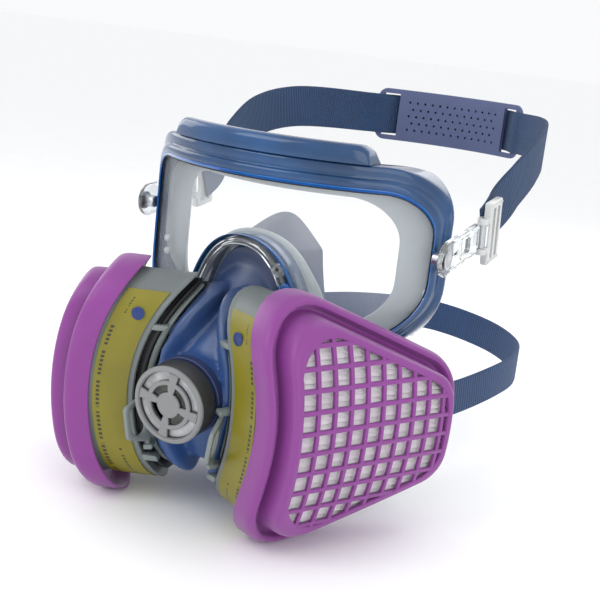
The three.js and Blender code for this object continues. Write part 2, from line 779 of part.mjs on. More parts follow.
// ---------------------------------------------------------------- both sides
for (const [side, sign] of [['left', 1], ['right', -1]]) {
  const half = new THREE.Group();
  half.scale.x = sign;
  group.add(half);

  const cartridge = new THREE.Group();
  cartridge.applyMatrix4(cartridgeFrame);
  half.add(cartridge);
  add(cartridge, `filter_cover_${side}`, filterCover(), material.magenta());
  add(cartridge, `pleated_filter_${side}`, pleatedFilter(), material.media());
  add(cartridge, `cartridge_housing_${side}`, housing(), material.housingGrey());
  add(cartridge, `carbon_bed_${side}`, carbonBed(), material.carbon());
  add(cartridge, `cartridge_label_${side}`, housingLabel(), material.label());
  add(cartridge, `cartridge_gasket_${side}`, gasket(), material.black());
  add(cartridge, `port_plate_${side}`, portPlate(), material.plateGrey());
  add(cartridge, `latch_clip_${side}`, latchClip(), material.plateGrey());
  add(cartridge, `inhalation_seat_${side}`, inhalationSeat(), material.plateGrey());
  add(cartridge, `inhalation_flap_${side}`, inhalationFlap(), material.silicone());

  const arm = new THREE.Group();
  arm.position.set(goggleHalfWidth + gap, armPivotY, armPivotZ);
  arm.rotation.x = degrees(armRise);
  half.add(arm);
  add(arm, `strap_arm_${side}`, strapArm(), material.clear());
  add(arm, `arm_pin_${side}`, armPin(), material.steel());
  add(arm, `strap_buckle_${side}`, strapBuckle(), material.buckleGrey());
  add(arm, `buckle_pin_${side}`, bucklePinRod(), material.steel());

  const lug = box(lugX, lugX + lugPlate, lugY - 12, lugY + 8, lugZ - neckWidth / 2 - 3,
    lugZ + neckWidth / 2 + 3)
    .subtract(box(lugX - 1, lugX + lugPlate + 1, lugY, lugY + 4, lugZ - neckWidth / 2 - 0.5,
      lugZ + neckWidth / 2 + 0.5));
  add(half, `neck_strap_lug_${side}`, lug, material.navyRubber());
}

// ---------------------------------------------------------------- straps and pad
const padCentreY = padBackY - padRadius;

function onPad(arc, lift) {
  const angle = arc / padRadius;
  const radius = padRadius + lift;
  return new THREE.Vector3(radius * Math.sin(angle), padCentreY + radius * Math.cos(angle), padZ);
}

// curved pad with a slot near each end
function backPad() {
  const x = padLength / 2;
  const z = padHeight / 2;
  const plate = outline([[-x, -z, 6], [x, -z, 6], [x, z, 6], [-x, z, 6]]);
  const tool = (radius) => rod(radius, 2 * padHeight, 'z', [0, padCentreY, 0], 64);
  let pad = prismXZ(plate, padCentreY, padBackY + padThick)
    .intersect(tool(padRadius + padThick / 2)).subtract(tool(padRadius - padThick / 2));
  for (const end of [-1, 1]) {
    const slot = end * (x - padEar - padSlot / 2);
    pad = pad.subtract(box(slot - padSlot / 2, slot + padSlot / 2, padCentreY, padBackY + padThick,
      -strapWidth / 2 - 1, strapWidth / 2 + 1));
  }
  return pad.translate([0, 0, padZ]);
}

function bothSides(points) {
  const left = points.map((point) => new THREE.Vector3(...point));
  const right = left.slice(0, -1).reverse().map((point) => point.clone().setX(-point.x));
  return new THREE.CatmullRomCurve3(left.concat(right), false, 'centripetal');
}

add(group, 'back_pad', backPad(), material.padBlue());

// the head strap rises from each buckle, and runs through the pad's slots and behind the pad
const headCurve = bothSides([
  [82.4, 44, 26], [82.6, 58, 33], [86, 76, 46], [87.5, 104, 59], [80, 138, 66],
  onPad(57, -3.8).toArray(), onPad(49.5, -3.4).toArray(), onPad(43.3, 0).toArray(),
  onPad(37, 3.4).toArray(), onPad(30, 3.6).toArray(), onPad(15, 3.4).toArray(),
  onPad(0, 3.4).toArray(),
]);
add(group, 'head_strap', solid(ribbon(headCurve, strapWidth, strapThick, 72)), material.webbing());

const neckCurve = bothSides([
  [lugX + lugPlate + 1.3, lugY - 4, lugZ], [lugX + lugPlate + 1.8, lugY + 9, lugZ],
  [60, 40, -73], [72, 78, -72], [82, 118, -68],
  [81, 150, -68], [70, 180, -68], [44, 203, -66], [0, 214, -64],
]);
add(group, 'neck_strap', solid(ribbon(neckCurve, neckWidth, strapThick, 40)), material.webbing());

export default group;
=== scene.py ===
# %% [markdown]
# # A full-face respirator
# A wide goggle is joined to a rubber half mask. Two arched cartridges sit on the cheeks, an
# exhalation valve sits in front, and a head strap with a back pad and a neck strap hold it on.
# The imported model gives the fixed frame: every piece below is made in that frame, in metres,
# and rides on one of its bodies. Z is up, -Y is forward and +X is the wearer's left.

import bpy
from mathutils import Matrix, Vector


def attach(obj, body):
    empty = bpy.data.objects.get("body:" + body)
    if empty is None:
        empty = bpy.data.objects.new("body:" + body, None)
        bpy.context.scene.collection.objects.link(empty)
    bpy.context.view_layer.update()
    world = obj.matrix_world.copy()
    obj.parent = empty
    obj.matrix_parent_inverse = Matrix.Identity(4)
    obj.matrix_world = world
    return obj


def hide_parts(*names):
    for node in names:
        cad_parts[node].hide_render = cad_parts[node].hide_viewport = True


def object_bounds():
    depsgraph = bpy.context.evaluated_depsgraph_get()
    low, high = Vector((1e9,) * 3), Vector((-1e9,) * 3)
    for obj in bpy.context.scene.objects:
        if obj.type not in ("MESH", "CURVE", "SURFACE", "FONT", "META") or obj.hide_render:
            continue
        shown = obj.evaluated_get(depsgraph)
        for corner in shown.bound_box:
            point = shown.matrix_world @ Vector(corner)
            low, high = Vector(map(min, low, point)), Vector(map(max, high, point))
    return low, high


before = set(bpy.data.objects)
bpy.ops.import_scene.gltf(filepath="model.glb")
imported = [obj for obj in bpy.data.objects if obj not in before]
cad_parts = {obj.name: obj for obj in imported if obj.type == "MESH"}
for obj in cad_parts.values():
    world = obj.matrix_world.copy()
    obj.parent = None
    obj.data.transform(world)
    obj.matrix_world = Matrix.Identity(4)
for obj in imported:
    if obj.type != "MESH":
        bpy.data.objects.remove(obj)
cad_low, cad_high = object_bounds()

# %% Tools for the lesson
import math

import bpy
from mathutils import Matrix, Vector

MM = 0.001
UP = Vector((0, 0, 1))
print("object box in mm:", [round(c / MM) for c in cad_low], [round(c / MM) for c in cad_high])

# %% [markdown]
# ## Camera, light and floor
# The camera comes first, so that each piece can be judged in the final framing. It stands in
# front on the wearer's left, a little above the mask, and leans slightly to one side.

# %% Camera
PAN, TILT, ROLL = math.radians(26.7), math.radians(-13.16), math.radians(6.62)
forward = Vector((-math.sin(PAN) * math.cos(TILT), math.cos(PAN) * math.cos(TILT), math.sin(TILT)))
level = Vector((math.cos(PAN), math.sin(PAN), 0))
upright = level.cross(forward)
right = level * math.cos(ROLL) + upright * math.sin(ROLL)
top = upright * math.cos(ROLL) - level * math.sin(ROLL)

bpy.ops.object.select_all(action="DESELECT")
bpy.ops.object.camera_add(location=Vector((257.7, -495.2, 110.8)) * MM)
camera = bpy.context.object
camera.matrix_world = Matrix.Translation(camera.location) @ Matrix(
    (right, top, -forward)).transposed().to_4x4()
camera.data.sensor_width = 36
camera.data.lens = 36 * 1135.72 / 600
camera.data.clip_start = 0.01
bpy.context.scene.camera = camera
print("lens:", round(camera.data.lens, 1), "mm")

# %% [markdown]
# Product light is soft and comes from large panels: a broad key above and in front, a fill on
# the far side and a strip behind that draws the rim of the rubber. The floor and the world are
# nearly white, so clear parts show by their edges rather than by what is behind them.

# %% Floor and light
def area_light(name, place, aim, size, power, tint=(1, 1, 1)):
    """A square panel at a place, in mm, turned towards a point."""
    bpy.ops.object.light_add(type="AREA", location=Vector(place) * MM)
    panel = bpy.context.object
    panel.name = name
    panel.rotation_euler = (Vector(aim) - Vector(place)).to_track_quat("-Z", "Y").to_euler()
    panel.data.size = size * MM
    panel.data.energy = power
    panel.data.color = tint
    return panel


area_light("key_panel", (-350, -700, 620), (0, -20, -20), 620, 2.6)
area_light("fill_panel", (620, -420, 180), (40, -40, -30), 520, 1.1)
area_light("side_strip", (-640, 60, 260), (0, 40, 0), 420, 1.0)
area_light("back_panel", (150, 620, 520), (0, 60, 20), 620, 1.5)

world = bpy.data.worlds.new("white_studio")
world.use_nodes = True
world.node_tree.nodes["Background"].inputs["Color"].default_value = (0.98, 0.99, 1.0, 1)
world.node_tree.nodes["Background"].inputs["Strength"].default_value = 0.97
bpy.context.scene.world = world
bpy.context.scene.view_settings.view_transform = "Standard"

bpy.ops.object.select_all(action="DESELECT")
bpy.ops.mesh.primitive_plane_add(size=30, location=(0, 0, cad_low.z - 0.5 * MM))
floor = bpy.context.object
floor.name = "studio_floor"

# %% [markdown]
# ## Ways of making
# Most pieces are rings: an outline drawn again and again at different offsets and depths. A
# grid primitive has its rows and columns in order, so one row of it is laid on each ring, the
# seam is merged, and the faces are turned outwards. The grid's own UV map comes along, so a
# weave or a print can follow the surface.

# %% Ring and sheet helpers
def laid_grid(name, rows, wrap=True):
    """A grid primitive whose rows are laid on lists of points in mm; wrap joins each row's ends."""
    across = len(rows[0]) if wrap else len(rows[0]) - 1
    bpy.ops.object.select_all(action="DESELECT")
    bpy.ops.mesh.primitive_grid_add(x_subdivisions=across, y_subdivisions=len(rows) - 1, size=1)
    piece = bpy.context.object
    piece.name = name
    piece.data.name = name
    flat = []
    for row in rows:
        line = list(row) + [row[0]] if wrap else row
        for point in line:
            flat.extend((point[0] * MM, point[1] * MM, point[2] * MM))
    piece.data.vertices.foreach_set("co", flat)
    piece.data.update()
    return tidy_mesh(piece)


def pick(piece):
    """Makes a piece the one selected and active object."""
    bpy.ops.object.select_all(action="DESELECT")
    piece.select_set(True)
    bpy.context.view_layer.objects.active = piece


def tidy_mesh(piece, merge=0.002):
    """Merges doubles closer than merge mm and turns the faces outwards."""
    pick(piece)
    bpy.ops.object.mode_set(mode="EDIT")
    bpy.ops.mesh.select_all(action="SELECT")
    bpy.ops.mesh.remove_doubles(threshold=merge * MM)
    bpy.ops.mesh.dissolve_degenerate(threshold=0.0005 * MM)
    bpy.ops.mesh.delete_loose()
    bpy.ops.mesh.select_all(action="SELECT")
    bpy.ops.mesh.normals_make_consistent(inside=False)
    bpy.ops.object.mode_set(mode="OBJECT")
    return piece


def slice_across(piece, axis, places):
    """Cuts new edges into a piece on planes square to an axis, at places in mm."""
    normal = [float(i == axis) for i in range(3)]
    pick(piece)
    bpy.ops.object.mode_set(mode="EDIT")
    for place in places:
        bpy.ops.mesh.select_all(action="SELECT")
        bpy.ops.mesh.bisect(plane_co=[n * place * MM for n in normal], plane_no=normal)
    bpy.ops.object.mode_set(mode="OBJECT")


def smooth(piece, angle=35):
    """Smooth shading that keeps edges sharper than the angle."""
    pick(piece)
    bpy.ops.object.shade_smooth_by_angle(angle=math.radians(angle))
    return piece


def apply_modifier(piece, kind, **settings):
    """Adds a modifier, sets it and applies it."""
    pick(piece)
    modifier = piece.modifiers.new(kind.lower(), kind)
    for key, value in settings.items():
        setattr(modifier, key, value)
    bpy.ops.object.modifier_apply(modifier=modifier.name)
    return piece


def place_points(piece, where):
    """Moves every vertex by a rule that takes and gives a point in mm."""
    for vertex in piece.data.vertices:
        vertex.co = Vector(where(vertex.co / MM)) * MM
    piece.data.update()
    return piece


def joined(name, pieces):
    """Several meshes made one object."""
    bpy.ops.object.select_all(action="DESELECT")
    for piece in pieces:
        piece.select_set(True)
    bpy.context.view_layer.objects.active = pieces[0]
    bpy.ops.object.join()
    pieces[0].name = name
    pieces[0].data.name = name
    return pieces[0]


def mirror_copy(piece, name):
    """The same piece on the other side, with a mesh of its own."""
    twin = piece.copy()
    twin.data = piece.data.copy()
    twin.name = name
    twin.data.name = name
    bpy.context.scene.collection.objects.link(twin)
    for vertex in twin.data.vertices:
        vertex.co.x = -vertex.co.x
    twin.data.flip_normals()
    return twin


def carve(piece, tool, operation="DIFFERENCE"):
    """Cuts a tool out of a piece, or joins it on, and removes the tool."""
    apply_modifier(piece, "BOOLEAN", object=tool, operation=operation, solver="EXACT")
    bpy.data.objects.remove(tool)
    return piece


def box_piece(name, low, high, bevel=0.4, segments=2):
    """A cube primitive between two corners in mm, its edges rounded in edit mode."""
    bpy.ops.object.select_all(action="DESELECT")
    bpy.ops.mesh.primitive_cube_add(size=1)
    piece = bpy.context.object
    piece.name = name
    low, high = Vector(low), Vector(high)
    place_points(piece, lambda p: [low[i] + (p[i] * MM + 0.5) * (high[i] - low[i])
                                   for i in range(3)])
    if bevel:
        bpy.ops.object.mode_set(mode="EDIT")
        bpy.ops.mesh.select_all(action="SELECT")
        bpy.ops.mesh.bevel(offset=bevel * MM, segments=segments, affect="EDGES")
        bpy.ops.object.mode_set(mode="OBJECT")
    return piece


def circle(radius, sides, middle=(0, 0)):
    """Points of a circle, anticlockwise."""
    return [(middle[0] + radius * math.cos(a), middle[1] + radius * math.sin(a))
            for a in (2 * math.pi * k / sides for k in range(sides))]


def turned(name, profile, frame_matrix, sides=96):
    """A round piece: a profile of (radius, height) points in mm, turned about z and placed."""
    return laid_grid(name, [[frame_matrix @ Vector((x, y, z)) for x, y in circle(r, sides)]
                            for r, z in profile])


def outline(corners, offset=0.0, turns=9, run=12):
    """Closed outline through (x, y, radius) corners, anticlockwise, grown by an offset."""
    count = len(corners)
    lines = []
    for i, (x0, y0, _) in enumerate(corners):
        x1, y1, _ = corners[(i + 1) % count]
        along = Vector((x1 - x0, y1 - y0)).normalized()
        lines.append((Vector((x0, y0)) + Vector((along.y, -along.x)) * offset, along))
    arcs = []
    for i, (start, along) in enumerate(lines):
        before_start, before = lines[i - 1]
        cross = before.cross(along)
        corner = before_start + before * ((start - before_start).cross(along) / cross)
        angle = math.atan2(cross, before.dot(along))
        radius = max(0.4, corners[i][2] + math.copysign(offset, angle))
        first = corner - before * radius * math.tan(abs(angle) / 2)
        middle = first + Vector((-before.y, before.x)) * radius * math.copysign(1, angle)
        arm = first - middle
        arcs.append([middle + Matrix.Rotation(angle * k / turns, 2) @ arm
                     for k in range(turns + 1)])
    points = []
    for i, arc in enumerate(arcs):
        points.extend(arc)
        end, start = arc[-1], arcs[(i + 1) % count][0]
        points.extend(end.lerp(start, k / run) for k in range(1, run))
    return points


def span(points, value, axis):
    """Where a closed outline crosses x = value (axis 0) or y = value (axis 1): lowest, highest."""
    hits = []
    for a, b in zip(points, points[1:] + points[:1]):
        if (a[axis] - value) * (b[axis] - value) <= 0 and abs(a[axis] - b[axis]) > 1e-9:
            share = (value - a[axis]) / (b[axis] - a[axis])
            hits.append(a[1 - axis] + (b[1 - axis] - a[1 - axis]) * share)
    return (min(hits), max(hits)) if len(hits) > 1 else None


print("helpers ready")

# %% [markdown]
# ## Finishes
# Every finish is a node material on object coordinates or on the piece's own UV map. A base
# colour moves a little with large soft noise and a fine noise gives the surface its bump.
# Numbers that are the same all over stay on the shader.

# %% Material helpers
SHADER = "Principled BSDF"


def add_node(look, kind, values=None, feeds=None, **settings):
    """A shader node: its settings, the values of its inputs and the sockets that feed it."""
    node = look.node_tree.nodes.new("ShaderNode" + kind)
    for key, value in settings.items():
        setattr(node, key, value)
    for key, value in (values or {}).items():
        node.inputs[key].default_value = value
    for key, socket in (feeds or {}).items():
        look.node_tree.links.new(socket, node.inputs[key])
    return node


def recolor(look, factor, color):
    """Blends the base colour of a look towards another colour by a factor."""
    base = look.node_tree.nodes[SHADER].inputs["Base Color"]
    mix = add_node(look, "Mix", {"B": (*color, 1)},
                   {"Factor": factor, "A": base.links[0].from_socket}, data_type="RGBA")
    look.node_tree.links.new(mix.outputs["Result"], base)


def relief(look, height, strength, distance):
    """Lets a height bump the surface of a look."""
    bump = add_node(look, "Bump", {"Strength": strength, "Distance": distance},
                    {"Height": height})
    look.node_tree.links.new(bump.outputs["Normal"], look.node_tree.nodes[SHADER].inputs["Normal"])


def finish(name, color, rough=0.5, drift=0.08, grain=900.0, bump=0.05, rough_drift=0.06,
           patch=28.0, painted_shade=None, **shader):
    """Moulded finish: colour drift, roughness drift and a fine grain, all on object coordinates,
    with an optional painted shade that darkens the colour by height.
    """
    look = bpy.data.materials.new(name)
    look.use_nodes = True
    links = look.node_tree.links
    principled = look.node_tree.nodes[SHADER]
    place = add_node(look, "TexCoord").outputs["Object"]
    cloud = add_node(look, "TexNoise", {"Scale": patch, "Detail": 3}, {"Vector": place})
    tone = add_node(look, "ValToRGB", feeds={"Fac": cloud.outputs["Fac"]})
    for end, position, gain in zip(tone.color_ramp.elements, (0.3, 0.7), (1 - drift, 1 + drift)):
        end.position = position
        end.color = [min(1, c * gain) for c in color] + [1]
    links.new(tone.outputs["Color"], principled.inputs["Base Color"])
    # Painted shade: the base colour blends towards a darker colour from one height to another.
    if painted_shade:
        low, high, other = painted_shade
        split = add_node(look, "SeparateXYZ", feeds={"Vector": place})
        height = add_node(look, "MapRange", {"From Min": low * MM, "From Max": high * MM},
                          {"Value": split.outputs["Z"]}, interpolation_type="SMOOTHSTEP")
        recolor(look, height.outputs["Result"], other)
    sheen = add_node(look, "MapRange", {"To Min": max(0.02, rough - rough_drift),
                                        "To Max": min(1, rough + rough_drift)},
                     {"Value": cloud.outputs["Fac"]})
    links.new(sheen.outputs["Result"], principled.inputs["Roughness"])
    fine = add_node(look, "TexNoise", {"Scale": grain, "Detail": 2}, {"Vector": place})
    relief(look, fine.outputs["Fac"], bump, 0.4 * MM)
    for key, value in shader.items():
        principled.inputs[key.replace("_", " ")].default_value = value
    return look


def dress(piece, look, body=None, replaces=()):
    """Gives a piece its finish, its body and the nodes it stands for."""
    piece.data.materials.clear()
    piece.data.materials.append(look)
    if body:
        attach(piece, body)
    if replaces:
        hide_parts(*replaces)
    print(f"{piece.name}: {len(piece.data.polygons)} faces")
    return piece


def dress_both(piece, look, body, node=None):
    """Mirrors a left-hand piece and dresses both; {} in the body's name takes the side."""
    twin = mirror_copy(piece, piece.name.replace("left", "right"))
    for each, side in ((piece, "left"), (twin, "right")):
        dress(each, look, body.format(side), [f"{node}_{side}"] if node else ())


# %% Finishes of this respirator
floor_paper = finish("floor_paper", (0.97, 0.97, 0.975), 0.7, 0.01, 300, 0.02)
floor.data.materials.append(floor_paper)

cover_plastic = finish("cover_plastic", (0.22, 0.036, 0.24), 0.42, 0.05, 1400, 0.10,
                       Specular_IOR_Level=0.45, Sheen_Weight=0.15)
media_fibre = finish("media_fibre", (0.83, 0.80, 0.82), 0.9, 0.06, 2600, 0.45, patch=120,
                     Sheen_Weight=0.3)
housing_plastic = finish("housing_plastic", (0.145, 0.165, 0.165), 0.42, 0.05, 1300, 0.07)
gasket_rubber = finish("gasket_rubber", (0.012, 0.012, 0.014), 0.55, 0.2, 900, 0.1)
plate_plastic = finish("plate_plastic", (0.19, 0.22, 0.215), 0.35, 0.05, 1200, 0.06)
# The mask carries a painted shade: its blue turns a darker slate from the cartridges up over the
# nose.
mask_rubber = finish("mask_rubber", (0.034, 0.090, 0.26), 0.34, 0.14, 1500, 0.05, 0.05, 16,
                     painted_shade=(-45, 12, (0.035, 0.055, 0.125)), Specular_IOR_Level=0.5,
                     Coat_Weight=0.2, Coat_Roughness=0.3)
collar_rubber = finish("collar_rubber", (0.022, 0.035, 0.11), 0.5, 0.08, 1200, 0.08)
cap_plastic = finish("cap_plastic", (0.032, 0.032, 0.035), 0.4, 0.05, 1400, 0.08)
cap_face = finish("cap_face", (0.21, 0.215, 0.22), 0.34, 0.06, 1400, 0.06)
panel_pale = finish("panel_pale", (0.46, 0.47, 0.48), 0.25, 0.30, 900, 0.02, patch=180)
silicone = finish("silicone", (0.78, 0.78, 0.74), 0.42, 0.03, 700, 0.03, Transmission_Weight=0.15)
carbon_grains = finish("carbon_grains", (0.014, 0.014, 0.015), 0.85, 0.5, 700, 0.9, patch=700)
frame_tint = finish("frame_tint", (0.010, 0.072, 0.21), 0.18, 0.42, 500, 0.015, 0.03, 26,
                    Transmission_Weight=0.28, IOR=1.42, Coat_Weight=0.5, Coat_Roughness=0.06)
# Bright glossy blue: the real colour of the small plug on the nose rim, and a painted highlight on
# the frame's inner line.
blue_and_painted_highlight = finish("blue_and_painted_highlight", (0.006, 0.10, 0.36), 0.16, 0.10, 500, 0.01, 0.03, 30,
                   Coat_Weight=0.4)
skirt_rubber = finish("skirt_rubber", (0.50, 0.56, 0.58), 0.42, 0.05, 900, 0.03,
                      Transmission_Weight=0.2, IOR=1.4)
clear_plastic = finish("clear_plastic", (0.93, 0.96, 0.97), 0.06, 0.01, 300, 0.01, 0.02,
                       Transmission_Weight=0.92, IOR=1.46)
lens_plastic = finish("lens_plastic", (0.80, 0.84, 0.86), 0.06, 0.01, 60, 0.004, 0.02,
                      Alpha=0.13, IOR=1.5)
pad_rubber = finish("pad_rubber", (0.075, 0.095, 0.20), 0.62, 0.05, 1600, 0.12)
buckle_plastic = finish("buckle_plastic", (0.60, 0.61, 0.60), 0.25, 0.03, 900, 0.02,
                        Coat_Weight=0.3)
pin_metal = finish("pin_metal", (0.55, 0.56, 0.58), 0.28, 0.05, 1500, 0.05, Metallic=1.0)
dot_white = finish("dot_white", (0.85, 0.87, 0.87), 0.4, 0.02, 900, 0.02)
disc_blue = finish("disc_blue", (0.008, 0.032, 0.16), 0.35, 0.04, 900, 0.02)
print("finishes:", len(bpy.data.materials))

# %% [markdown]
# ## The cartridges
# All layers of a cartridge share one arch, like slices of an onion. Each layer is made flat,
# with its outline in u and v and its depth in d, and is then laid over the arch. Only the left
# one is modelled; the right one is its mirror image with its own mesh.

# %% The arch that every cartridge layer shares
ARCH = 114
TURN = math.radians(65)
CART_U = Vector((math.cos(TURN), math.sin(TURN), 0))
CART_N = Vector((math.sin(TURN), -math.cos(TURN), 0))
CART_O = Vector((76, -75, -54.5))


def arched(point):
    """A flat (u, v, depth) point in mm laid on the left cartridge's arch."""
    u, v, depth = point
    out = math.sqrt((ARCH - depth) ** 2 - v * v) - ARCH
    return CART_O + CART_U * u + UP * v + CART_N * out


SLOPE_TOP, SLOPE_LOW = math.tan(math.radians(-23)), math.tan(math.radians(16))
TIER_FRONT, TIER_REAR, TIER_FOOT, TIER_TOP = -29, 64, -54, 59
TIER_RUN = TIER_REAR - TIER_FRONT
TIER = [(TIER_FRONT, TIER_FOOT, 18), (TIER_REAR, TIER_FOOT + TIER_RUN * SLOPE_LOW, 14),
        (TIER_REAR, TIER_TOP + TIER_RUN * SLOPE_TOP, 14), (TIER_FRONT, TIER_TOP, 18)]
BODY = [(-33, -56, 20), (40, -56 + 73 * math.tan(math.radians(22)), 11), (40, -1, 11),
        (0, 63 + 33 * SLOPE_TOP, 12), (-33, 63, 20)]
WAIST = 2.4


def tier(offset):
    """The cover's outline; the grille's opening has tighter corners than the tier."""
    tighter = 0.9 * min(4.4, max(0.0, -offset))
    return outline([(u, v, radius - tighter) for u, v, radius in TIER], offset)


def waisted(points, depth):
    """Draws the front edge of a cover ring in a little at the middle of its height."""
    row = []
    for u, v in points:
        near = max(0.0, 1 - (u + 37) / 22) if u > -37 else 1.0
        draw = WAIST * near * math.exp(-((v - 4) / 26) ** 2)
        row.append((u + draw, v, depth))
    return row


def body_rows(profile):
    """Rings of the body's outline at (offset, depth) steps, laid on the arch."""
    return [[arched((u, v, depth)) for u, v in outline(BODY, offset)] for offset, depth in profile]


print("front edge height:", TIER_TOP - TIER_FOOT, "mm")

# %% [markdown]
# The cover is one moulding: a skirt that grips the housing, a groove, a tier that rises from it
# with a sloping shoulder, and an open grille. Its shell is one closed ring of rings. The bars of
# the grille are rounded boxes that end inside the rim, joined on by a boolean so that the cover
# is a single skin, and the flat result is laid on the arch.

# %% Cover shell
COVER_PROFILE = [
    (7.2, 19.6), (7.8, 19.3), (8.0, 18.4), (8.0, 14.5), (8.0, 11.5), (7.8, 10.0), (7.3, 8.8),
    (6.4, 8.0),
    (5.4, 7.8), (4.5, 8.1), (3.8, 8.9), (3.3, 10.4), (2.7, 12.0), (1.5, 12.6), (0.6, 12.0),
    (0.3, 10.4),
    (0.1, 8.0), (0.0, 5.4), (-0.1, 3.0), (-0.3, 1.6), (-0.8, 0.7), (-1.5, 0.15), (-2.4, 0.0),
    (-3.6, 0.0), (-4.1, 0.1),
    (-4.4, 0.5), (-4.5, 1.2), (-4.4, 2.0), (-3.4, 2.3), (-2.6, 3.2), (-2.2, 4.6), (-2.0, 7.0),
    (-1.9, 12.2),
    (-1.0, 13.7), (0.8, 13.9), (4.0, 13.8), (5.4, 12.6), (6.1, 13.0), (6.4, 14.5), (6.4, 18.9),
    (6.7, 19.4)]
rows = [waisted(tier(off), depth) for off, depth in COVER_PROFILE]
cover = laid_grid("filter_cover_look_left", rows + [rows[0]])
print("cover rings:", len(rows), "points a ring:", len(rows[0]))

# %% Grille bars
BAR, PITCH, SHORTEST, CUT_EVERY = 1.0, 9.0, 4, 7
opening = [Vector((u, v)) for u, v, _ in waisted(tier(-3.8), 0)]
bars = []
u = TIER_FRONT + PITCH / 2
while u < TIER_REAR:
    low, high = span(opening, u, 0) or (0, 0)
    if high - low > SHORTEST:
        bars.append(box_piece("bar", (u - BAR, low, 0.25), (u + BAR, high, 2.1), 0.42, 2))
        slice_across(bars[-1], 1,
                     [low + CUT_EVERY * k for k in range(1, int((high - low) / CUT_EVERY))])
    u += PITCH
v = TIER_FOOT + PITCH / 2
while v < TIER_TOP:
    low, high = span(opening, v, 1) or (0, 0)
    if high - low > SHORTEST:
        bars.append(box_piece("bar", (low, v - BAR, 0.17), (high, v + BAR, 2.02), 0.42, 2))
    v += PITCH
lattice = joined("lattice", bars)
print("bars:", len(bars))

# %% Cover in one skin, on the arch
apply_modifier(cover, "BOOLEAN", object=lattice, operation="UNION", solver="EXACT", use_self=True)
bpy.data.objects.remove(lattice)
place_points(cover, arched)
tidy_mesh(cover, 0.01)
smooth(cover, 32)
dress_both(cover, cover_plastic, "cartridge_{}", "filter_cover")

# %% [markdown]
# Behind the grille lies white filter paper in pleats that run from front to rear. A row of
# points is laid on each crest and each valley, cut to the outline at that height, and the slab
# is closed behind.

# %% Pleated media
edge = [Vector((u, v)) for u, v, _ in waisted(tier(-2.3), 0)]
v_low, v_high = min(p.y for p in edge), max(p.y for p in edge)
PLEAT, ACROSS, CREST, FOLD, RIPPLE, SLAB_BACK = 2.25, 14, 2.7, 2.3, 0.18, 7.2
steps = int((v_high - v_low) / PLEAT) * 4
rows = []
for k in range(steps + 1):
    v = v_low + 0.6 + (v_high - v_low - 1.2) * k / steps
    low, high = span(edge, v, 1)
    fold = CREST + FOLD * (0.5 - 0.5 * math.cos(2 * math.pi * k / 4))
    front = [(low + (high - low) * j / ACROSS, v, fold + RIPPLE * math.sin(j * 1.7 + k * 0.37))
             for j in range(ACROSS + 1)]
    back = [(x, y, SLAB_BACK) for x, y, _ in reversed(front)]
    rows.append([arched(p) for p in front + back])
media = laid_grid("pleated_media_left", rows)
bpy.ops.object.mode_set(mode="EDIT")
bpy.ops.mesh.select_all(action="DESELECT")
bpy.ops.mesh.select_non_manifold()
bpy.ops.mesh.edge_face_add()
bpy.ops.object.mode_set(mode="OBJECT")
smooth(tidy_mesh(media), 60)
dress_both(media, media_fibre, "cartridge_{}", "pleated_filter")

# %% [markdown]
# The housing is a cup with a rolled lip under the cover's skirt and a small bead at its foot.
# A wrap-around label covers its front wall. The black gasket, the thin light plate behind it
# and a small spacer tab make the dark line that is seen between the housing and the mask.

# %% Housing
HOUSING_PROFILE = [
    (-2.0, 14.2), (-0.4, 14.0), (0.2, 14.0), (0.9, 14.4), (0.9, 15.6), (0.6, 16.0), (0.4, 16.2),
    (0.2, 16.8),
    (0.0, 18.0), (0.0, 24.0), (0.0, 31.0), (0.0, 36.5), (0.05, 38.2), (0.35, 38.6), (0.4, 39.4),
    (0.0, 39.9),
    (-1.0, 40.0), (-6.0, 40.0)]
rows = body_rows(HOUSING_PROFILE)
PORT_U, PORT_R = 4, 14
bore = circle(PORT_R, len(rows[0]), (PORT_U, 0))


def nearest_start(ring, other):
    """Turns the list so that its first point is the one nearest to the other ring's first."""
    best = min(range(len(ring)), key=lambda k: math.dist(ring[k], other[0]))
    return ring[best:] + ring[:best]


def floor_rows(off, depth, count=4):
    """Rings from the body's outline in to the round port at one depth."""
    outer = outline(BODY, off)
    inner_ring = nearest_start(bore, outer)
    return [[arched((a[0] + (b[0] - a[0]) * k / count, a[1] + (b[1] - a[1]) * k / count, depth))
             for a, b in zip(outer, inner_ring)] for k in range(1, count + 1)]


rows += floor_rows(-6.0, 40.0)
rows += list(reversed(floor_rows(-6.0, 38.0)))
rows += body_rows([(-3.0, 38.0), (-2.2, 37.0), (-2.0, 30.0), (-2.0, 20.0)])
housing = laid_grid("housing_look_left", rows + [rows[0]])
smooth(housing, 40)
dress_both(housing, housing_plastic, "cartridge_{}", "cartridge_housing")

# %% Label, from the middle of the low edge up the front wall
TURNS, RUN = 14, 20
wall = outline(BODY, 0.08, TURNS, RUN)
each = TURNS + RUN
front_wall = [p for p in wall[4 * each:] + wall[:each] if p[1] < 46 and p[0] < 3]
rows = [[arched((u, v, 21 + 16 * k / 6)) for u, v in front_wall] for k in range(7)]
label = laid_grid("cartridge_print_left", rows, wrap=False)
apply_modifier(label, "SOLIDIFY", thickness=0.45 * MM, offset=1.0)
smooth(label, 50)
print("label length:", round(sum(math.dist(a, b) for a, b in zip(front_wall, front_wall[1:]))),
      "mm")

# %% [markdown]
# The print on the label is a plain olive field with a long row of dark dashes beside the cover
# and a short block of thin lines near the foot. It is drawn on the label's UV map, which runs
# along the wall in x and across it in y, so it follows the bend. Nothing on it can be read.

# %% Printed film
label_film = finish("label_film", (0.195, 0.17, 0.008), 0.34, 0.10, 1200, 0.03, patch=40)


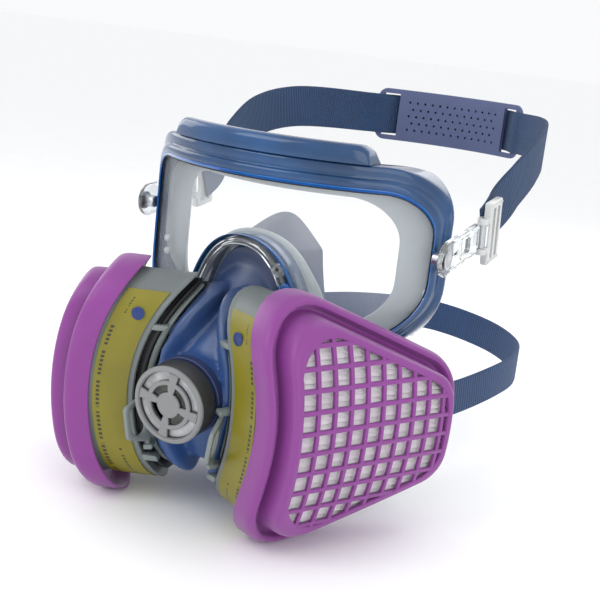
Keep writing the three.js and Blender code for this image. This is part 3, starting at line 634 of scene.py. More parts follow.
def printed(look, ink, bands):
    """Adds rows of ink dashes: each band is (middle y, half width, from x, to x, dashes a unit)."""
    uv = add_node(look, "UVMap").outputs["UV"]
    along, across, _ = add_node(look, "SeparateXYZ", feeds={"Vector": uv}).outputs

    def math_node(operation, *terms):
        node = add_node(look, "Math", operation=operation)
        for socket, term in zip(node.inputs, terms):
            if isinstance(term, (int, float)):
                socket.default_value = term
            else:
                look.node_tree.links.new(term, socket)
        return node.outputs[0]

    total = 0
    for middle, half, start, end, rate in bands:
        inside = math_node("COMPARE", across, middle, half)
        after = math_node("GREATER_THAN", along, start)
        before = math_node("LESS_THAN", along, end)
        beat = math_node("FRACT", math_node("MULTIPLY", along, rate))
        slow = math_node("FRACT", math_node("MULTIPLY", along, rate * 0.137))
        dash = math_node("MULTIPLY", math_node("LESS_THAN", beat, 0.62),
                         math_node("LESS_THAN", slow, 0.86))
        band = math_node("MULTIPLY", math_node("MULTIPLY", inside, after),
                         math_node("MULTIPLY", before, dash))
        total = math_node("MAXIMUM", total, band)
    recolor(look, total, ink)


printed(label_film, (0.035, 0.035, 0.012),
        [(0.16, 0.05, 0.14, 0.93, 62), (0.62, 0.035, 0.60, 0.80, 70), (0.30, 0.02, 0.03, 0.10, 90)])

# %% Blue disc beside the label, and both dressed
disc = turned("side_disc_left", [(0, 0.0), (2.6, 0.0), (3.0, 0.1), (3.0, 0.35), (2.7, 0.5),
                                 (0, 0.5)],
              Matrix.Identity(4), 40)
spot_at = arched((-33.1 - 0.5, 36, 31))
spot_out = (-CART_U * 0.995 + CART_N * 0.1).normalized()
place_points(disc, lambda p: spot_at + spot_out.to_track_quat("Z", "Y") @ p)
smooth(disc, 40)
dress_both(label, label_film, "cartridge_{}", "cartridge_label")
dress_both(disc, disc_blue, "cartridge_{}")

# %% Gasket and port plate
GASKET_PROFILE = [(-1.9, 40.3), (-1.6, 40.8), (-2.0, 41.6), (-1.5, 42.4), (-1.8, 43.5),
                  (-2.4, 43.7), (-5.6, 43.7),
                  (-6.0, 43.4), (-6.0, 40.6), (-5.6, 40.3)]
rows = body_rows(GASKET_PROFILE)
gasket = smooth(laid_grid("gasket_band_left", rows + [rows[0]]), 50)

PLATE_PROFILE = [(-5.0, 44.0), (-3.4, 44.0), (-3.0, 44.3), (-2.9, 45.2), (-3.1, 46.2), (-3.8, 46.9),
                 (-5.0, 47.0)]
rows = body_rows(PLATE_PROFILE)
rows += floor_rows(-5.0, 47.0)
rows += list(reversed(floor_rows(-5.0, 44.0)))
plate = laid_grid("port_plate_look_left", rows + [rows[0]])
LATCH_ARCH = ARCH - 45.5
LATCH_V, LATCH_U = -12, -34.5
LATCH_TURN = -math.asin(LATCH_V / LATCH_ARCH)


def on_latch(point):
    """A point of the latch's own frame laid on the arched plate."""
    p = Matrix.Rotation(LATCH_TURN, 3, "X") @ Vector(point)
    return CART_O + CART_U * (p.x + LATCH_U) + UP * (p.y + LATCH_V) + CART_N * (
        p.z + LATCH_ARCH * math.cos(LATCH_TURN) - ARCH)


eyes = []
for end in (-1, 1):
    low, high = sorted((end * 12.3, end * 14.7))
    eye = box_piece("eye", (-2.3, low, -2.3), (9.5, high, 1.9), 0.6, 3)
    eyes.append(place_points(eye, on_latch))
for at_v in (29, -33):
    tab = box_piece("tab", (-33.6, at_v, 39.6), (-27, at_v + 2.6, 45.6), 0.4, 2)
    eyes.append(place_points(tab, arched))
plate = smooth(joined("port_plate_look_left", [plate] + eyes), 40)

# %% Latch loop
def loop_rows(wide, narrow, reach, bar):
    """Rings of a flat trapezoid loop with round edges, in the latch's own frame."""
    outer = [(-reach, -narrow / 2, 2.2), (0, -wide / 2, 1.2), (0, wide / 2, 1.2),
             (-reach, narrow / 2, 2.2)]
    profile = [(0.0, -0.5), (0.0, 0.5), (-0.25, 0.95), (-0.7, 1.1), (-bar + 0.7, 1.1),
               (-bar + 0.25, 0.95),
               (-bar, 0.5), (-bar, -0.5), (-bar + 0.25, -0.95), (-bar + 0.7, -1.1), (-0.7, -1.1),
               (-0.25, -0.95)]
    rings = [[(x + 1.3, y, z) for x, y in outline(outer, off, 6, 5)] for off, z in profile]
    return rings + [rings[0]]


LEAN = Matrix.Rotation(math.radians(40), 3, "Y")
loop = laid_grid("latch_loop", loop_rows(24, 15, 13, 2.5))
pin = turned("latch_pin", [(0, -13.8), (0.8, -13.8), (1.1, -13.5), (1.1, 13.5), (0.8, 13.8),
                           (0, 13.8)],
             Matrix.Rotation(math.radians(90), 4, "X"), 20)
latch = joined("latch_look_left", [loop, pin])
place_points(latch, lambda p: on_latch(LEAN @ p))
smooth(latch, 40)

dress_both(gasket, gasket_rubber, "cartridge_{}", "cartridge_gasket")
dress_both(plate, plate_plastic, "mask_and_goggle", "port_plate")
dress_both(latch, plate_plastic, "latch_{}", "latch_clip")

# %% [markdown]
# ## The goggle
# The front of the goggle is one outline with round corners and a notch for the nose. It is
# wrapped on an upright cylinder: every ring keeps its x and z, and its y is read from a
# cylinder a little larger or smaller than the lens. The frame is a closed loop of such rings
# with a soft outer edge, a crown and a bead beside the lens.

# %% Goggle outline and its surface
HALF, CROWN, BASE, FOOT = 82, 57, -32, -17
LENS_R, LENS_MID, BACK = 90, 43.5, 3.01


def notch_side(grow, foot, count):
    """The left side of the nose notch from its foot to its apex, in (x, z)."""
    apex, notch_x, pull = 13 + grow, 25 + grow, 20 + grow
    rise = (apex - foot) / 2
    guide = ((-notch_x, foot), (-pull, foot + rise), (-pull * 0.7, apex), (0, apex))
    points = []
    for k in range(count + 1):
        t = k / count
        weights = ((1 - t) ** 3, 3 * t * (1 - t) ** 2, 3 * t * t * (1 - t), t ** 3)
        points.append(tuple(sum(w * p[i] for w, p in zip(weights, guide)) for i in (0, 1)))
    return points


def mirrored(half):
    """The points of a left half, then their mirror image."""
    return half + [(-x, z) for x, z in reversed(half[:-1])]


def goggle(side=0, brow=0, low=0, notch=0, soft=0):
    """Front outline in (x, z), drawn in by the four amounts, its corners rounder by soft."""
    half, high, base, foot = HALF - side, CROWN - brow, BASE + low, FOOT + low
    upper, lower = 24 - side + soft, 35.2 - side + soft / 2

    def straight_run(a, b, count):
        return [(a[0] + (b[0] - a[0]) * k / count, a[1] + (b[1] - a[1]) * k / count)
                for k in range(count)]

    def arc(x, z, r, start, count=14):
        turns = [math.radians(start + 90 * k / count) for k in range(count)]
        return [(x + r * math.cos(a), z + r * math.sin(a)) for a in turns]

    left = straight_run((0, high), (-half + upper, high), 20)
    left += arc(-half + upper, high - upper, upper, 90)
    left += straight_run((-half, high - upper), (-half, base + lower), 12)
    left += arc(-half + lower, base + lower, lower, 180)
    left += straight_run((-half + lower, base), (-25 - notch, foot), 8)
    return mirrored(left + notch_side(notch, foot, 16))[:-1]


def wrapped(x, z, lift, back=BACK):
    """A point of the front outline on the cylinder that stands out from the lens face."""
    return (x, min(back, LENS_MID - math.sqrt(max((LENS_R + lift) ** 2 - x * x, 0))), z)


NOTCH_SHARE = 0.5


def goggle_ring(t, inset, lift, back=BACK):
    """Between the frame's outer edge (t = 0) and its window (t = 1)."""
    notch = 3.9 + 1.1 * t + inset * NOTCH_SHARE
    ring = goggle(5 * t + inset, 12 * t + inset, 6 * t + inset, notch)
    return [wrapped(x, z, lift, back) for x, z in ring]


print("outline points:", len(goggle()))

# %% Frame
FRAME_PROFILE = [
    (0, 0.5, -11.0), (0, 0.0, -10.4), (0, 0.0, -6.0), (0, 0.0, -3.4), (0, 0.0, -1.9, 2.4),
    (0, 0.0, -0.9, 1.9),
    (0, 0.12, -0.1, 1.5), (0, 0.45, 0.55, 1.2), (0, 0.95, 0.9, 0.9), (0.16, 0.7, 1.0, 0.8),
    (0.34, 0.3, 0.8), (0.46, 0.1, 0.7), (0.50, 0.1, 0.9), (0.53, 0.1, 1.6), (0.57, 0.1, 2.2),
    (0.64, 0.05, 2.4), (0.76, 0, 2.4), (0.86, 0, 2.15),
    (0.93, 0, 1.6), (0.98, 0, 1.3), (1, 0, 0.9), (1, 0, 0.32),
    (0.62, 0, 0.32, 1.0), (0.62, 0, -2.5, 1.4), (1, 0, -2.5, 1.4), (1, 0, -3.2, 2.6),
    (0.96, 0, -10.4),
    (0.9, 0, -11.0)]
rows = [goggle_ring(*step) for step in FRAME_PROFILE]
frame_piece = smooth(laid_grid("goggle_frame_look", rows + [rows[0]]), 40)
dress(frame_piece, frame_tint, "mask_and_goggle", ["goggle_frame"])

# %% Black seat line of the lens
SEAT = [(-0.1, 0.08), (-0.1, 0.9), (0.75, 0.9), (0.75, 0.08)]
rows = [[wrapped(x, z, lift)
         for x, z in goggle(5 + inset, 12 + inset, 6 + inset, 4.4 + inset / 4)] for inset,
         lift in SEAT]
seat_line = smooth(laid_grid("lens_seat_line", rows + [rows[0]]), 30)
dress(seat_line, gasket_rubber, "mask_and_goggle")

# %% Bright inner line of the frame, a painted highlight along the window edge
# This brighter blue ring beside the lens is a painted highlight of the frame's inner edge.
LINE = [(0.86, 0.0, 1.5), (0.87, 0.0, 2.35), (0.90, 0.05, 2.45), (0.99, 0.1, 1.75),
        (1.0, 0.12, 1.3), (0.97, 0.0, 1.0)]
rows = [goggle_ring(*step) for step in LINE]
painted_highlight_line = smooth(laid_grid("frame_bright_line", rows + [rows[0]]), 40)
dress(painted_highlight_line, blue_and_painted_highlight, "mask_and_goggle")

# %% [markdown]
# The lens and a few other pieces are cut from a prism of the front outline by drums, with exact
# booleans. The drums have many sides, so that the clear lens shows no facets.

# %% Prism, drum and lens
def prism(name, outline_xz, front=-95, back=60):
    """The front outline pushed along y, closed at both ends."""
    piece = laid_grid(name, [[(x, y, z) for x, z in outline_xz] for y in (front, back)])
    return capped(piece)


def capped(piece):
    """Closes every open loop with a face."""
    pick(piece)
    bpy.ops.object.mode_set(mode="EDIT")
    bpy.ops.mesh.select_all(action="DESELECT")
    bpy.ops.mesh.select_mode(type="EDGE")
    bpy.ops.mesh.select_non_manifold()
    bpy.ops.mesh.edge_face_add()
    bpy.ops.mesh.select_mode(type="VERT")
    bpy.ops.object.mode_set(mode="OBJECT")
    return tidy_mesh(piece)


def drum(radius, middle_y, sides=256, height=300):
    """An upright round drum."""
    bpy.ops.object.select_all(action="DESELECT")
    bpy.ops.mesh.primitive_cylinder_add(vertices=sides, radius=radius * MM, depth=height * MM)
    return place_points(bpy.context.object, lambda p: (p.x, p.y + middle_y, p.z))


def front_part(piece):
    """Keeps only what lies in front of the goggle's back plane."""
    return carve(piece, box_piece("block", (-150, -120, -90), (150, BACK, 90), 0), "INTERSECT")


lens = prism("lens_look", goggle(2.8, 9.8, 3.8, 4.55))
carve(lens, drum(LENS_R, LENS_MID), "INTERSECT")
carve(lens, drum(LENS_R - 2.2, LENS_MID))
smooth(tidy_mesh(front_part(lens)), 30)
dress(lens, lens_plastic, "mask_and_goggle", ["goggle_lens"])

# %% Nose rim: a clear bead that follows the notch
def along_notch(grow, count=60):
    """The notch curve from foot to foot with a given growth, in (x, z)."""
    return mirrored(notch_side(grow, FOOT, count))


SECTION = [(0.25, -11), (0.0, -10), (0.0, 1.4), (0.2, 2.3), (0.6, 2.75), (1.0, 2.75), (1.35, 2.2),
           (1.6, 1.5),
           (1.95, 1.5), (2.2, 2.2), (2.5, 2.75), (3.0, 2.75), (3.35, 2.3), (3.55, 1.4), (3.55, -10),
           (3.3, -11)]
lines = [along_notch(grow) for grow, _ in SECTION]
rows = [[wrapped(line[k][0], line[k][1], lift) for line, (_, lift) in zip(lines, SECTION)]
        for k in range(len(lines[0]))]
nose_rim = smooth(capped(laid_grid("nose_rim_look", rows)), 50)


def stud(name, x, z, radius, low, high):
    """A round stud that stands on the wrapped front of the goggle."""
    out = Vector((x, wrapped(x, z, 0)[1] - LENS_MID, 0)).normalized()
    place = Matrix.Translation(wrapped(x, z, 0)) @ out.to_track_quat("Z", "Y").to_matrix().to_4x4()
    soft = 0.25 * radius
    profile = [(0, low), (radius, low), (radius, high - soft),
               (radius - soft * 0.3, high - soft * 0.3), (radius - soft, high), (0, high)]
    return smooth(turned(name, profile, place, 36), 50)


rim_stud = stud("nose_rim_stud", 18.6, 4.5, 3.1, -1.5, 2.6)
rim_eye = stud("nose_rim_eye", 18.3, 4.9, 1.0, 2.4, 2.75)
rim_plug = stud("nose_rim_plug", 22.6, -3.2, 2.3, -2, 2.75)
dress(rim_stud, clear_plastic, "mask_and_goggle")
dress(rim_eye, gasket_rubber, "mask_and_goggle")
dress(rim_plug, blue_and_painted_highlight, "mask_and_goggle")
dress(nose_rim, clear_plastic, "mask_and_goggle", ["nose_bridge_rim"])

# %% Brow cover, swept across the top
BROW_HALF, BROW_END, BROW_STEPS, BROW_LOW, BROW_RISE, BROW_BACK = 52, 6, 60, 57.15, 8.4, -7
BEAD, SHARP = 3.4, 0.05
rows = []
for k in range(BROW_STEPS + 1):
    x = -BROW_HALF + 2 * BROW_HALF * k / BROW_STEPS
    side = max(0.0, (abs(x) - BROW_HALF + BROW_END) / BROW_END)
    top_z = BROW_LOW + SHARP + BROW_RISE * math.sqrt(max(0.004, 1 - side ** 2))
    r = min(BEAD, (top_z - BROW_LOW) / 2 - 0.02)
    corners = ((top_z - r, 2.4 - r, r, 0), (top_z - r, BROW_BACK + r, r, 90),
               (BROW_LOW + SHARP, BROW_BACK + SHARP, SHARP, 180),
               (BROW_LOW + SHARP, 2.35, SHARP, 270))
    turns = [(corner, math.radians(corner[3] + 90 * j / 4)) for corner in corners for j in range(5)]
    rows.append([wrapped(x, cz + radius * math.sin(a), lift + radius * math.cos(a))
                 for (cz, lift, radius, _), a in turns])
brow = smooth(capped(laid_grid("brow_cover_look", rows)), 45)
dress(brow, frame_tint, "mask_and_goggle", ["brow_vent_cover"])

# %% [markdown]
# The skirt is a soft pale wall that runs back from the frame to the face and turns inwards to a
# wide lip. Its back edge follows an upright drum, which stands for the forehead and temples.

# %% Skirt
def skirt_ring(off, step, inset=0.0):
    """off is 'wall', 'bore' or 'lip'; step is (share of the way back, extra depth in mm)."""
    *grows, notch = {"wall": (3, 3, 3, 3.9), "bore": (5.4, 5.4, 5.4, 5.5),
                     "lip": (23, 17, 11, 6.4)}[off]
    row = []
    for x, z in goggle(*(grow + inset for grow in grows), notch + inset * 0.12,
                       20 if off == "lip" else 0):
        front = min(BACK - 0.2, LENS_MID - math.sqrt(max((LENS_R - 11.15) ** 2 - x * x, 0)))
        back = min(7.0, 46 - math.sqrt(max(76 ** 2 - x * x, 0)))
        back = max(back, front + 3.2)
        if z < 25:
            near = min(1.0, max(0.0, (33 - abs(x)) / 7))
            back += (front + 2.7 - back) * near * near * (3 - 2 * near)
        row.append((x, front + (back - front) * step[0] + step[1], z))
    return row


SKIRT_STEPS = [
    ("wall", (0, 0), 0), ("wall", (0.3, 0), 0), ("wall", (0.7, 0), 0.25), ("wall", (1, -1.2), 0),
    ("wall", (1, -0.35), 0.3), ("wall", (1, 0), 1.2), ("wall", (1, 0), 4.0), ("lip", (1, 0), -3.0),
    ("lip", (1, -0.2), -0.4), ("lip", (1, -1.2), 0), ("lip", (1, -2.1), -0.4),
    ("lip", (1, -2.4), -3.0),
    ("bore", (1, -2.4), 3.0), ("bore", (1, -2.6), 0.8), ("bore", (0.6, -1.0), 0),
    ("bore", (0, 0), 0)]
rows = [skirt_ring(*step) for step in SKIRT_STEPS]
skirt = smooth(laid_grid("skirt_look", rows + [rows[0]]), 50)
dress(skirt, skirt_rubber, "mask_and_goggle", ["goggle_skirt"])

# %% Pale studs on the inside of the skirt
studs = []
for sign in (-1, 1):
    for k, z in enumerate((-2, -9, -15.5, -21.5)):
        x = 79 - 5.4 - 0.2 - max(0, -z - 4) ** 2 * 0.012
        place = Matrix.Translation((sign * (x + 0.3), 0.2, z))
        place = place @ Matrix.Rotation(math.radians(-90 * sign), 4, "Y")
        studs.append(turned("stud", [(0, -0.8), (1.9, -0.8), (1.9, 0.5), (1.4, 1.0), (0, 1.2)],
                            place, 28))
studs = smooth(joined("skirt_studs", studs), 40)
dress(studs, dot_white, "mask_and_goggle")

# %% [markdown]
# ## The half mask
# A ball is drawn into the body of the mask, the two cartridge flanges and the valve's collar are
# set into it, and a voxel remesh turns the three volumes into one skin whose joints a smooth
# pass rounds off. The face opening, the ports and the space of the goggle are cut afterwards.

# %% Mask volumes
def mask_point(p, inset):
    """A point of a unit ball drawn to the body of the mask."""
    z = (MASK_LOW + inset) + (MASK_TOP - MASK_LOW - 2 * inset) * (p.z + 1) / 2
    level = (z - MASK_LOW) / (MASK_TOP - MASK_LOW)
    fill = min(1.0, math.sqrt(max(1 - p.z * p.z, 0)) * 1.5)
    half = (45 - inset) * (1 - 0.6 * max(level, 0) ** 1.7 - 0.3 * (1 - level) ** 3)
    ridge = -40 * math.exp(-(((level - 0.42) / 0.32) ** 2))
    front = -52 + 22 * level + ridge + inset
    angle = math.atan2(p.x, -p.y)
    depth = 8 - front if abs(angle) < math.pi / 2 else 22
    return (half * fill * math.sin(angle), 8 - depth * fill * math.cos(angle), z)


MASK_TOP, MASK_LOW = 27, -103


def ball(name, where, segments=72, rings=56):
    """A round ball primitive drawn to shape by a rule."""
    bpy.ops.object.select_all(action="DESELECT")
    bpy.ops.mesh.primitive_uv_sphere_add(segments=segments, ring_count=rings, radius=1)
    piece = bpy.context.object
    piece.name = name
    for vertex in piece.data.vertices:
        vertex.co = Vector(where(vertex.co)) * MM
    return tidy_mesh(piece, 0.001)


TILT_V = math.radians(6)
VALVE = Matrix(((1, 0, 0, 0), (0, -math.sin(TILT_V), -math.cos(TILT_V), -99),
                (0, math.cos(TILT_V), -math.sin(TILT_V), -53), (0, 0, 0, 1)))

FLARE = [-2.6, -1.5, -1.0, -1.2, -1.8, -2.6, -3.3, -3.8]
boss_rows = []
BOSS_RINGS, BOSS_DEEP = 13, 26
for k in range(BOSS_RINGS + 1):
    z = (BOSS_DEEP + 0.5) * (1 - k / BOSS_RINGS)
    scale = 1 - 0.42 * max(1 - z / BOSS_DEEP, 0) ** 1.5
    depth = 47 + BOSS_DEEP - z if k else 47.15
    boss_rows.append([arched((PORT_U + (u - PORT_U) * scale, v * scale, depth))
                      for u, v in outline(BODY, FLARE[k] if k < len(FLARE) else -4)])
boss = capped(laid_grid("boss", boss_rows))
boss_right = mirror_copy(boss, "boss_right")
collar = turned("collar", [(0, -30.2), (14.5, -30.2), (16.3, -29.8), (16.5, -29), (16.5, -13.4),
                           (16.1, -12.6), (15.2, -12.2), (0, -12.2)], VALVE, 72)
mask = ball("half_mask_look", lambda p: mask_point(p, 0))
notch_line = along_notch(-0.5, 24)
web_rows = [[wrapped(x * share, (z - FOOT) * share + FOOT, lift) for x, z in notch_line]
            for share, lift in ((1, -10.5), (1, -5.0), (0.985, -4.0), (0.95, -3.4))]
web = capped(laid_grid("web", web_rows))
mask = joined("half_mask_look", [mask, boss, boss_right, collar, web])
mask.data.remesh_voxel_size = 1.25 * MM
mask.data.use_remesh_preserve_volume = True
bpy.ops.object.voxel_remesh()
apply_modifier(mask, "SMOOTH", factor=0.5, iterations=10)
print("mask skin:", len(mask.data.polygons))

# %% Mask openings
def flipped(piece):
    """Moves a piece to the other side."""
    return tidy_mesh(place_points(piece, lambda p: (-p.x, p.y, p.z)))


inner = ball("inner", lambda p: mask_point(p, 3.2), 48, 36)
lip_tool = ball("lip_tool", lambda p: (p.x * 66.6, 62 + p.y * 88.6, -36 + p.z * 102.6), 48, 36)
carve(lip_tool, ball("lip_cut", lambda p: mask_point(p, 14), 48, 36))
carve(inner, lip_tool)
carve(mask, inner)
carve(mask, ball("face", lambda p: (p.x * 64, 62 + p.y * 86, -36 + p.z * 100), 96, 72))
carve(mask, turned("bore", [(0, -70), (10.5, -70), (10.5, 5), (0, 5)], VALVE, 64))
for sign in (1, -1):
    port = capped(laid_grid("port", [[CART_O + CART_U * u + UP * v - CART_N * d
                                      for u, v in circle(17, 64, (PORT_U, 0))] for d in (30, 110)]))
    carve(mask, flipped(port) if sign < 0 else port)
space = prism("space", goggle(-4, -4, -20, -0.15))
carve(space, drum(LENS_R + 2.95, LENS_MID, 128), "INTERSECT")
carve(space, drum(LENS_R - 11.15, LENS_MID, 128))
carve(mask, front_part(space))
smooth(tidy_mesh(mask), 38)
dress(mask, mask_rubber, "mask_and_goggle", ["half_mask_shell"])

# %% Neck strap lugs
for side, sign in (("left", 1), ("right", -1)):
    lug = box_piece(f"neck_lug_look_{side}", (46, -4, -85), (49, 16, -59), 0.9, 3)
    carve(lug, box_piece("slot", (45, 8, -82.5), (50, 12, -61.5), 0))
    smooth(flipped(lug) if sign < 0 else lug, 40)
    dress(lug, collar_rubber, "mask_and_goggle", [f"neck_strap_lug_{side}"])

# %% [markdown]
# ## The exhalation valve
# The round cap is a dark drum with a light rim. A grey spider with four broad spokes, a ring and
# a hub lies in its face, with pale panels between the spokes and dark slots round the hub. A dark
# band clamps the cap's rubber collar from behind.

# %% Cap
def arc_block(inner_r, outer_r, start, sweep, low, high, count=14):
    """A curved block between two radii and two angles in the valve's frame."""
    rows = []
    for k in range(count + 1):
        a = start + sweep * k / count
        rows.append([VALVE @ Vector((r * math.cos(a), r * math.sin(a), z))
                     for r, z in ((inner_r, low), (outer_r, low), (outer_r, high),
                                  (inner_r, high))])
    return capped(laid_grid("arc_block", rows))


CAP_TURN = math.radians(-10)
cap_shell = turned("valve_cap_look", [
    (15.8, -12.0), (17.3, -12.0), (17.7, -11.6), (17.8, -10.6), (17.8, -3.2), (17.6, -2.8),
    (17.6, -2.2), (17.8, -1.8), (17.7, -0.8), (17.2, -0.15), (16.5, 0.0), (15.9, -0.15),
    (15.6, -0.8), (15.5, -1.5), (0.0, -1.5), (0, -2.6), (15.2, -2.6), (15.8, -3.4), (15.8, -12.0)],
    VALVE, 128)
for k in range(4):
    start = CAP_TURN + k * math.pi / 2 + 0.17
    carve(cap_shell, arc_block(11.3, 15.2, start, math.pi / 2 - 0.34, -4, 1))
    carve(cap_shell, arc_block(6.0, 9.4, start + 0.06, math.pi / 2 - 0.46, -4, 1))
smooth(tidy_mesh(cap_shell), 35)
dress(cap_shell, cap_plastic, "exhalation_cap", ["exhalation_valve_cap"])

# %% Spider, hub and rim of the cap
ring_profile = [(9.3, -1.6), (9.3, -0.75), (9.6, -0.45), (11.0, -0.45), (11.3, -0.75), (11.3, -1.6),
                (9.3, -1.6)]
spider = turned("valve_spider", ring_profile, VALVE, 96)
arms = [spider]
for k in range(4):
    a = CAP_TURN + k * math.pi / 2
    for inner_r, outer_r, half in ((10.9, 15.3, 0.155), (5.2, 9.7, 0.21)):
        arms.append(arc_block(inner_r, outer_r, a - half, 2 * half, -1.6, -0.55, 6))
hub = turned("valve_hub", [(0, -1.6), (5.9, -1.6), (5.9, -0.7), (5.5, -0.35), (0, -0.3)], VALVE, 64)
spider = smooth(joined("valve_spider", arms), 35)
dress(spider, cap_face, "exhalation_cap")
dress(smooth(hub, 35), cap_face, "exhalation_cap")
rim = turned("valve_rim", [(15.45, -1.9), (17.86, -1.9), (17.9, -0.9), (17.3, -0.1), (16.5, 0.08),
                           (15.8, -0.1),
                           (15.4, -0.8), (15.45, -1.9)], VALVE, 128)
dress(smooth(rim, 35), cap_face, "exhalation_cap")

# %% Pale panels behind the outer windows
panels = turned("valve_panels", [(9.9, -3.3), (15.6, -3.3), (15.6, -2.8), (9.9, -2.8), (9.9, -3.3)],
                VALVE, 96)
dress(smooth(panels, 35), panel_pale, "exhalation_cap")

# %% Clamp ring
clamp = turned("clamp_ring_look", [
    (16.65, -17.7), (17.8, -17.7), (18.2, -17.4), (18.2, -13.6), (17.8, -13.3), (16.65, -13.3),
    (16.65, -17.7)], VALVE, 96)
dress(smooth(clamp, 35), collar_rubber, "mask_and_goggle", ["valve_clamp_ring"])

# %% [markdown]
# ## Arms and buckles
# A clear arm turns back from each side of the goggle. It carries a barrel that the ladder buckle
# hinges on. The arm is a flat ring between its outline and its slot, with soft edges.

# %% Arms
ARM = Matrix.Translation((82.3, -7, 17)) @ Matrix.Rotation(math.radians(9), 4, "X")
ARM_OUTER = [(-6.5, -8.5, 7.5), (42, -7.5, 3), (42, 7.5, 3), (-6.5, 8.5, 7.5)]
ARM_SLOT = [(18.9, -4, 2), (29.7, -4, 2), (29.7, 4, 2), (18.9, 4, 2)]
OUTER_STEPS = [(-0.5, 0.0), (0, 0.5), (0, 2.1), (-0.15, 2.45), (-0.5, 2.6), (-1.6, 2.6),
               (-2.0, 2.2)]
SLOT_STEPS = [(1.6, 2.2), (1.3, 2.6), (0.3, 2.6), (0, 2.3), (0, 0.3), (0.3, 0.0)]
arm_rows = [[(x, y, z) for y, z in outline(shape, off, 10, 12)]
            for shape, steps in ((ARM_OUTER, OUTER_STEPS), (ARM_SLOT, SLOT_STEPS)) for off,
            x in steps]
arm = laid_grid("strap_arm_look_left", arm_rows + [arm_rows[0]])
HINGE = Matrix.Translation((2.8, 45, 0))
barrel = turned("barrel", [(0, -6), (2.5, -6), (2.78, -5.7), (2.78, 5.7), (2.5, 6), (0, 6)], HINGE,
                40)
carve(arm, barrel, "UNION")
carve(arm, box_piece("web", (0.13, 39.3, -5.8), (2.47, 45.1, 5.8), 0.2, 1), "UNION")
pin = turned("arm_pin_look_left", [
    (0, -4), (2.7, -4), (3.0, -3.7), (3.0, 2.8), (4.3, 2.8), (4.5, 3.0), (4.5, 3.3), (4.2, 3.6),
    (3.4, 3.7), (3.0, 3.4), (0, 3.4)], Matrix.Rotation(math.radians(90), 4, "Y"), 48)

# %% Buckle
buckle = box_piece("strap_buckle_look_left", (1.8, 48.1, -16), (5.8, 64.0, 16), 0.9, 3)
for start in (51.0, 57.0):
    carve(buckle, box_piece("slot", (0.5, start, -13), (7, start + 3.5, 13), 0))
for low, high in ((6.15, 9.15), (-9.15, -6.15)):
    lug = turned("lug", [(1.45, low), (2.8, low), (2.8, high), (1.45, high), (1.45, low)], HINGE,
                 32)
    web = box_piece("lug_web", (1.8, 46.6, low + 0.01), (5.6, 49.5, high - 0.01), 0.15, 1)
    carve(buckle, lug, "UNION")
    carve(buckle, web, "UNION")
bead = [box_piece("bead", (5.7, 48.9, z0), (6.2, 63.2, z0 + 1.0), 0.24, 2) for z0 in (-14.9, 13.9)]
buckle = joined("strap_buckle_look_left", [buckle] + bead)
cross_pin = turned("buckle_pin_look_left", [
    (0, -9.5), (1.1, -9.5), (1.3, -9.3), (1.3, 9.3), (1.1, 9.5), (0, 9.5)], HINGE, 28)
for piece, look, slot_name, body, node in (
        (arm, clear_plastic, "clear_rim", "head_harness", "strap_arm"),
        (pin, pin_metal, "pin_steel", "head_harness", "arm_pin"),
        (buckle, buckle_plastic, "buckle_grey", "buckle_{}", "strap_buckle"),
        (cross_pin, pin_metal, "pin_steel", "head_harness", "buckle_pin")):
    smooth(tidy_mesh(place_points(piece, lambda p: ARM @ p)), 40)
    dress_both(piece, look, body, node)

# %% [markdown]
# ## The back pad
# The pad is made flat: a rounded plate with two strap slots and rows of small holes. It is then
# cut into narrow strips, so that it can bend smoothly round the back of the head.

# %% Pad
PAD_SHAPE = [(-51, -16.5, 6), (51, -16.5, 6), (51, 16.5, 6), (-51, 16.5, 6)]
pad_rows = [[(x, z, h) for x, z in outline(PAD_SHAPE, off, 8, 10)]
            for off, h in ((-0.8, -1.5), (-0.25, -1.3), (0, -0.8), (0, 0.8), (-0.25, 1.3),
                           (-0.8, 1.5), (-2.2, 1.5),
                           (-2.6, 1.15), (-3.4, 1.15))]
pad = capped(laid_grid("back_pad_look", pad_rows))
SLOT_X, SLOT_HALF, HOLE_X, HOLE_Z = 41.8, 4.8, 5, 4.4
cutters = [box_piece("slot", (x - SLOT_HALF, -13.5, -4), (x + SLOT_HALF, 13.5, 4), 0)
           for x in (-SLOT_X, SLOT_X)]
for row_k in range(5):
    for col in range(12 if row_k % 2 else 13):
        spot = Matrix.Translation((HOLE_X * (col - 6 + row_k % 2 / 2), HOLE_Z * (row_k - 2), 0))
        cutters.append(turned("hole", [(0, -4), (0.75, -4), (0.75, 4), (0, 4)], spot, 12))
print("pad holes:", len(cutters) - 2)
carve(pad, joined("holes", cutters))
slice_across(pad, 0, [2.1 * k + 0.3 for k in range(-24, 25)])
PAD_R = 95


def on_pad(arc, up, lift):
    """A flat pad point bent round the back of the head."""
    turn = arc / PAD_R
    return ((PAD_R + lift) * math.sin(turn), 112 + (PAD_R + lift) * math.cos(turn), 66 + up)


place_points(pad, lambda p: on_pad(p.x, p.y, p.z))
smooth(tidy_mesh(pad), 35)
dress(pad, pad_rubber, "head_harness", ["back_pad"])
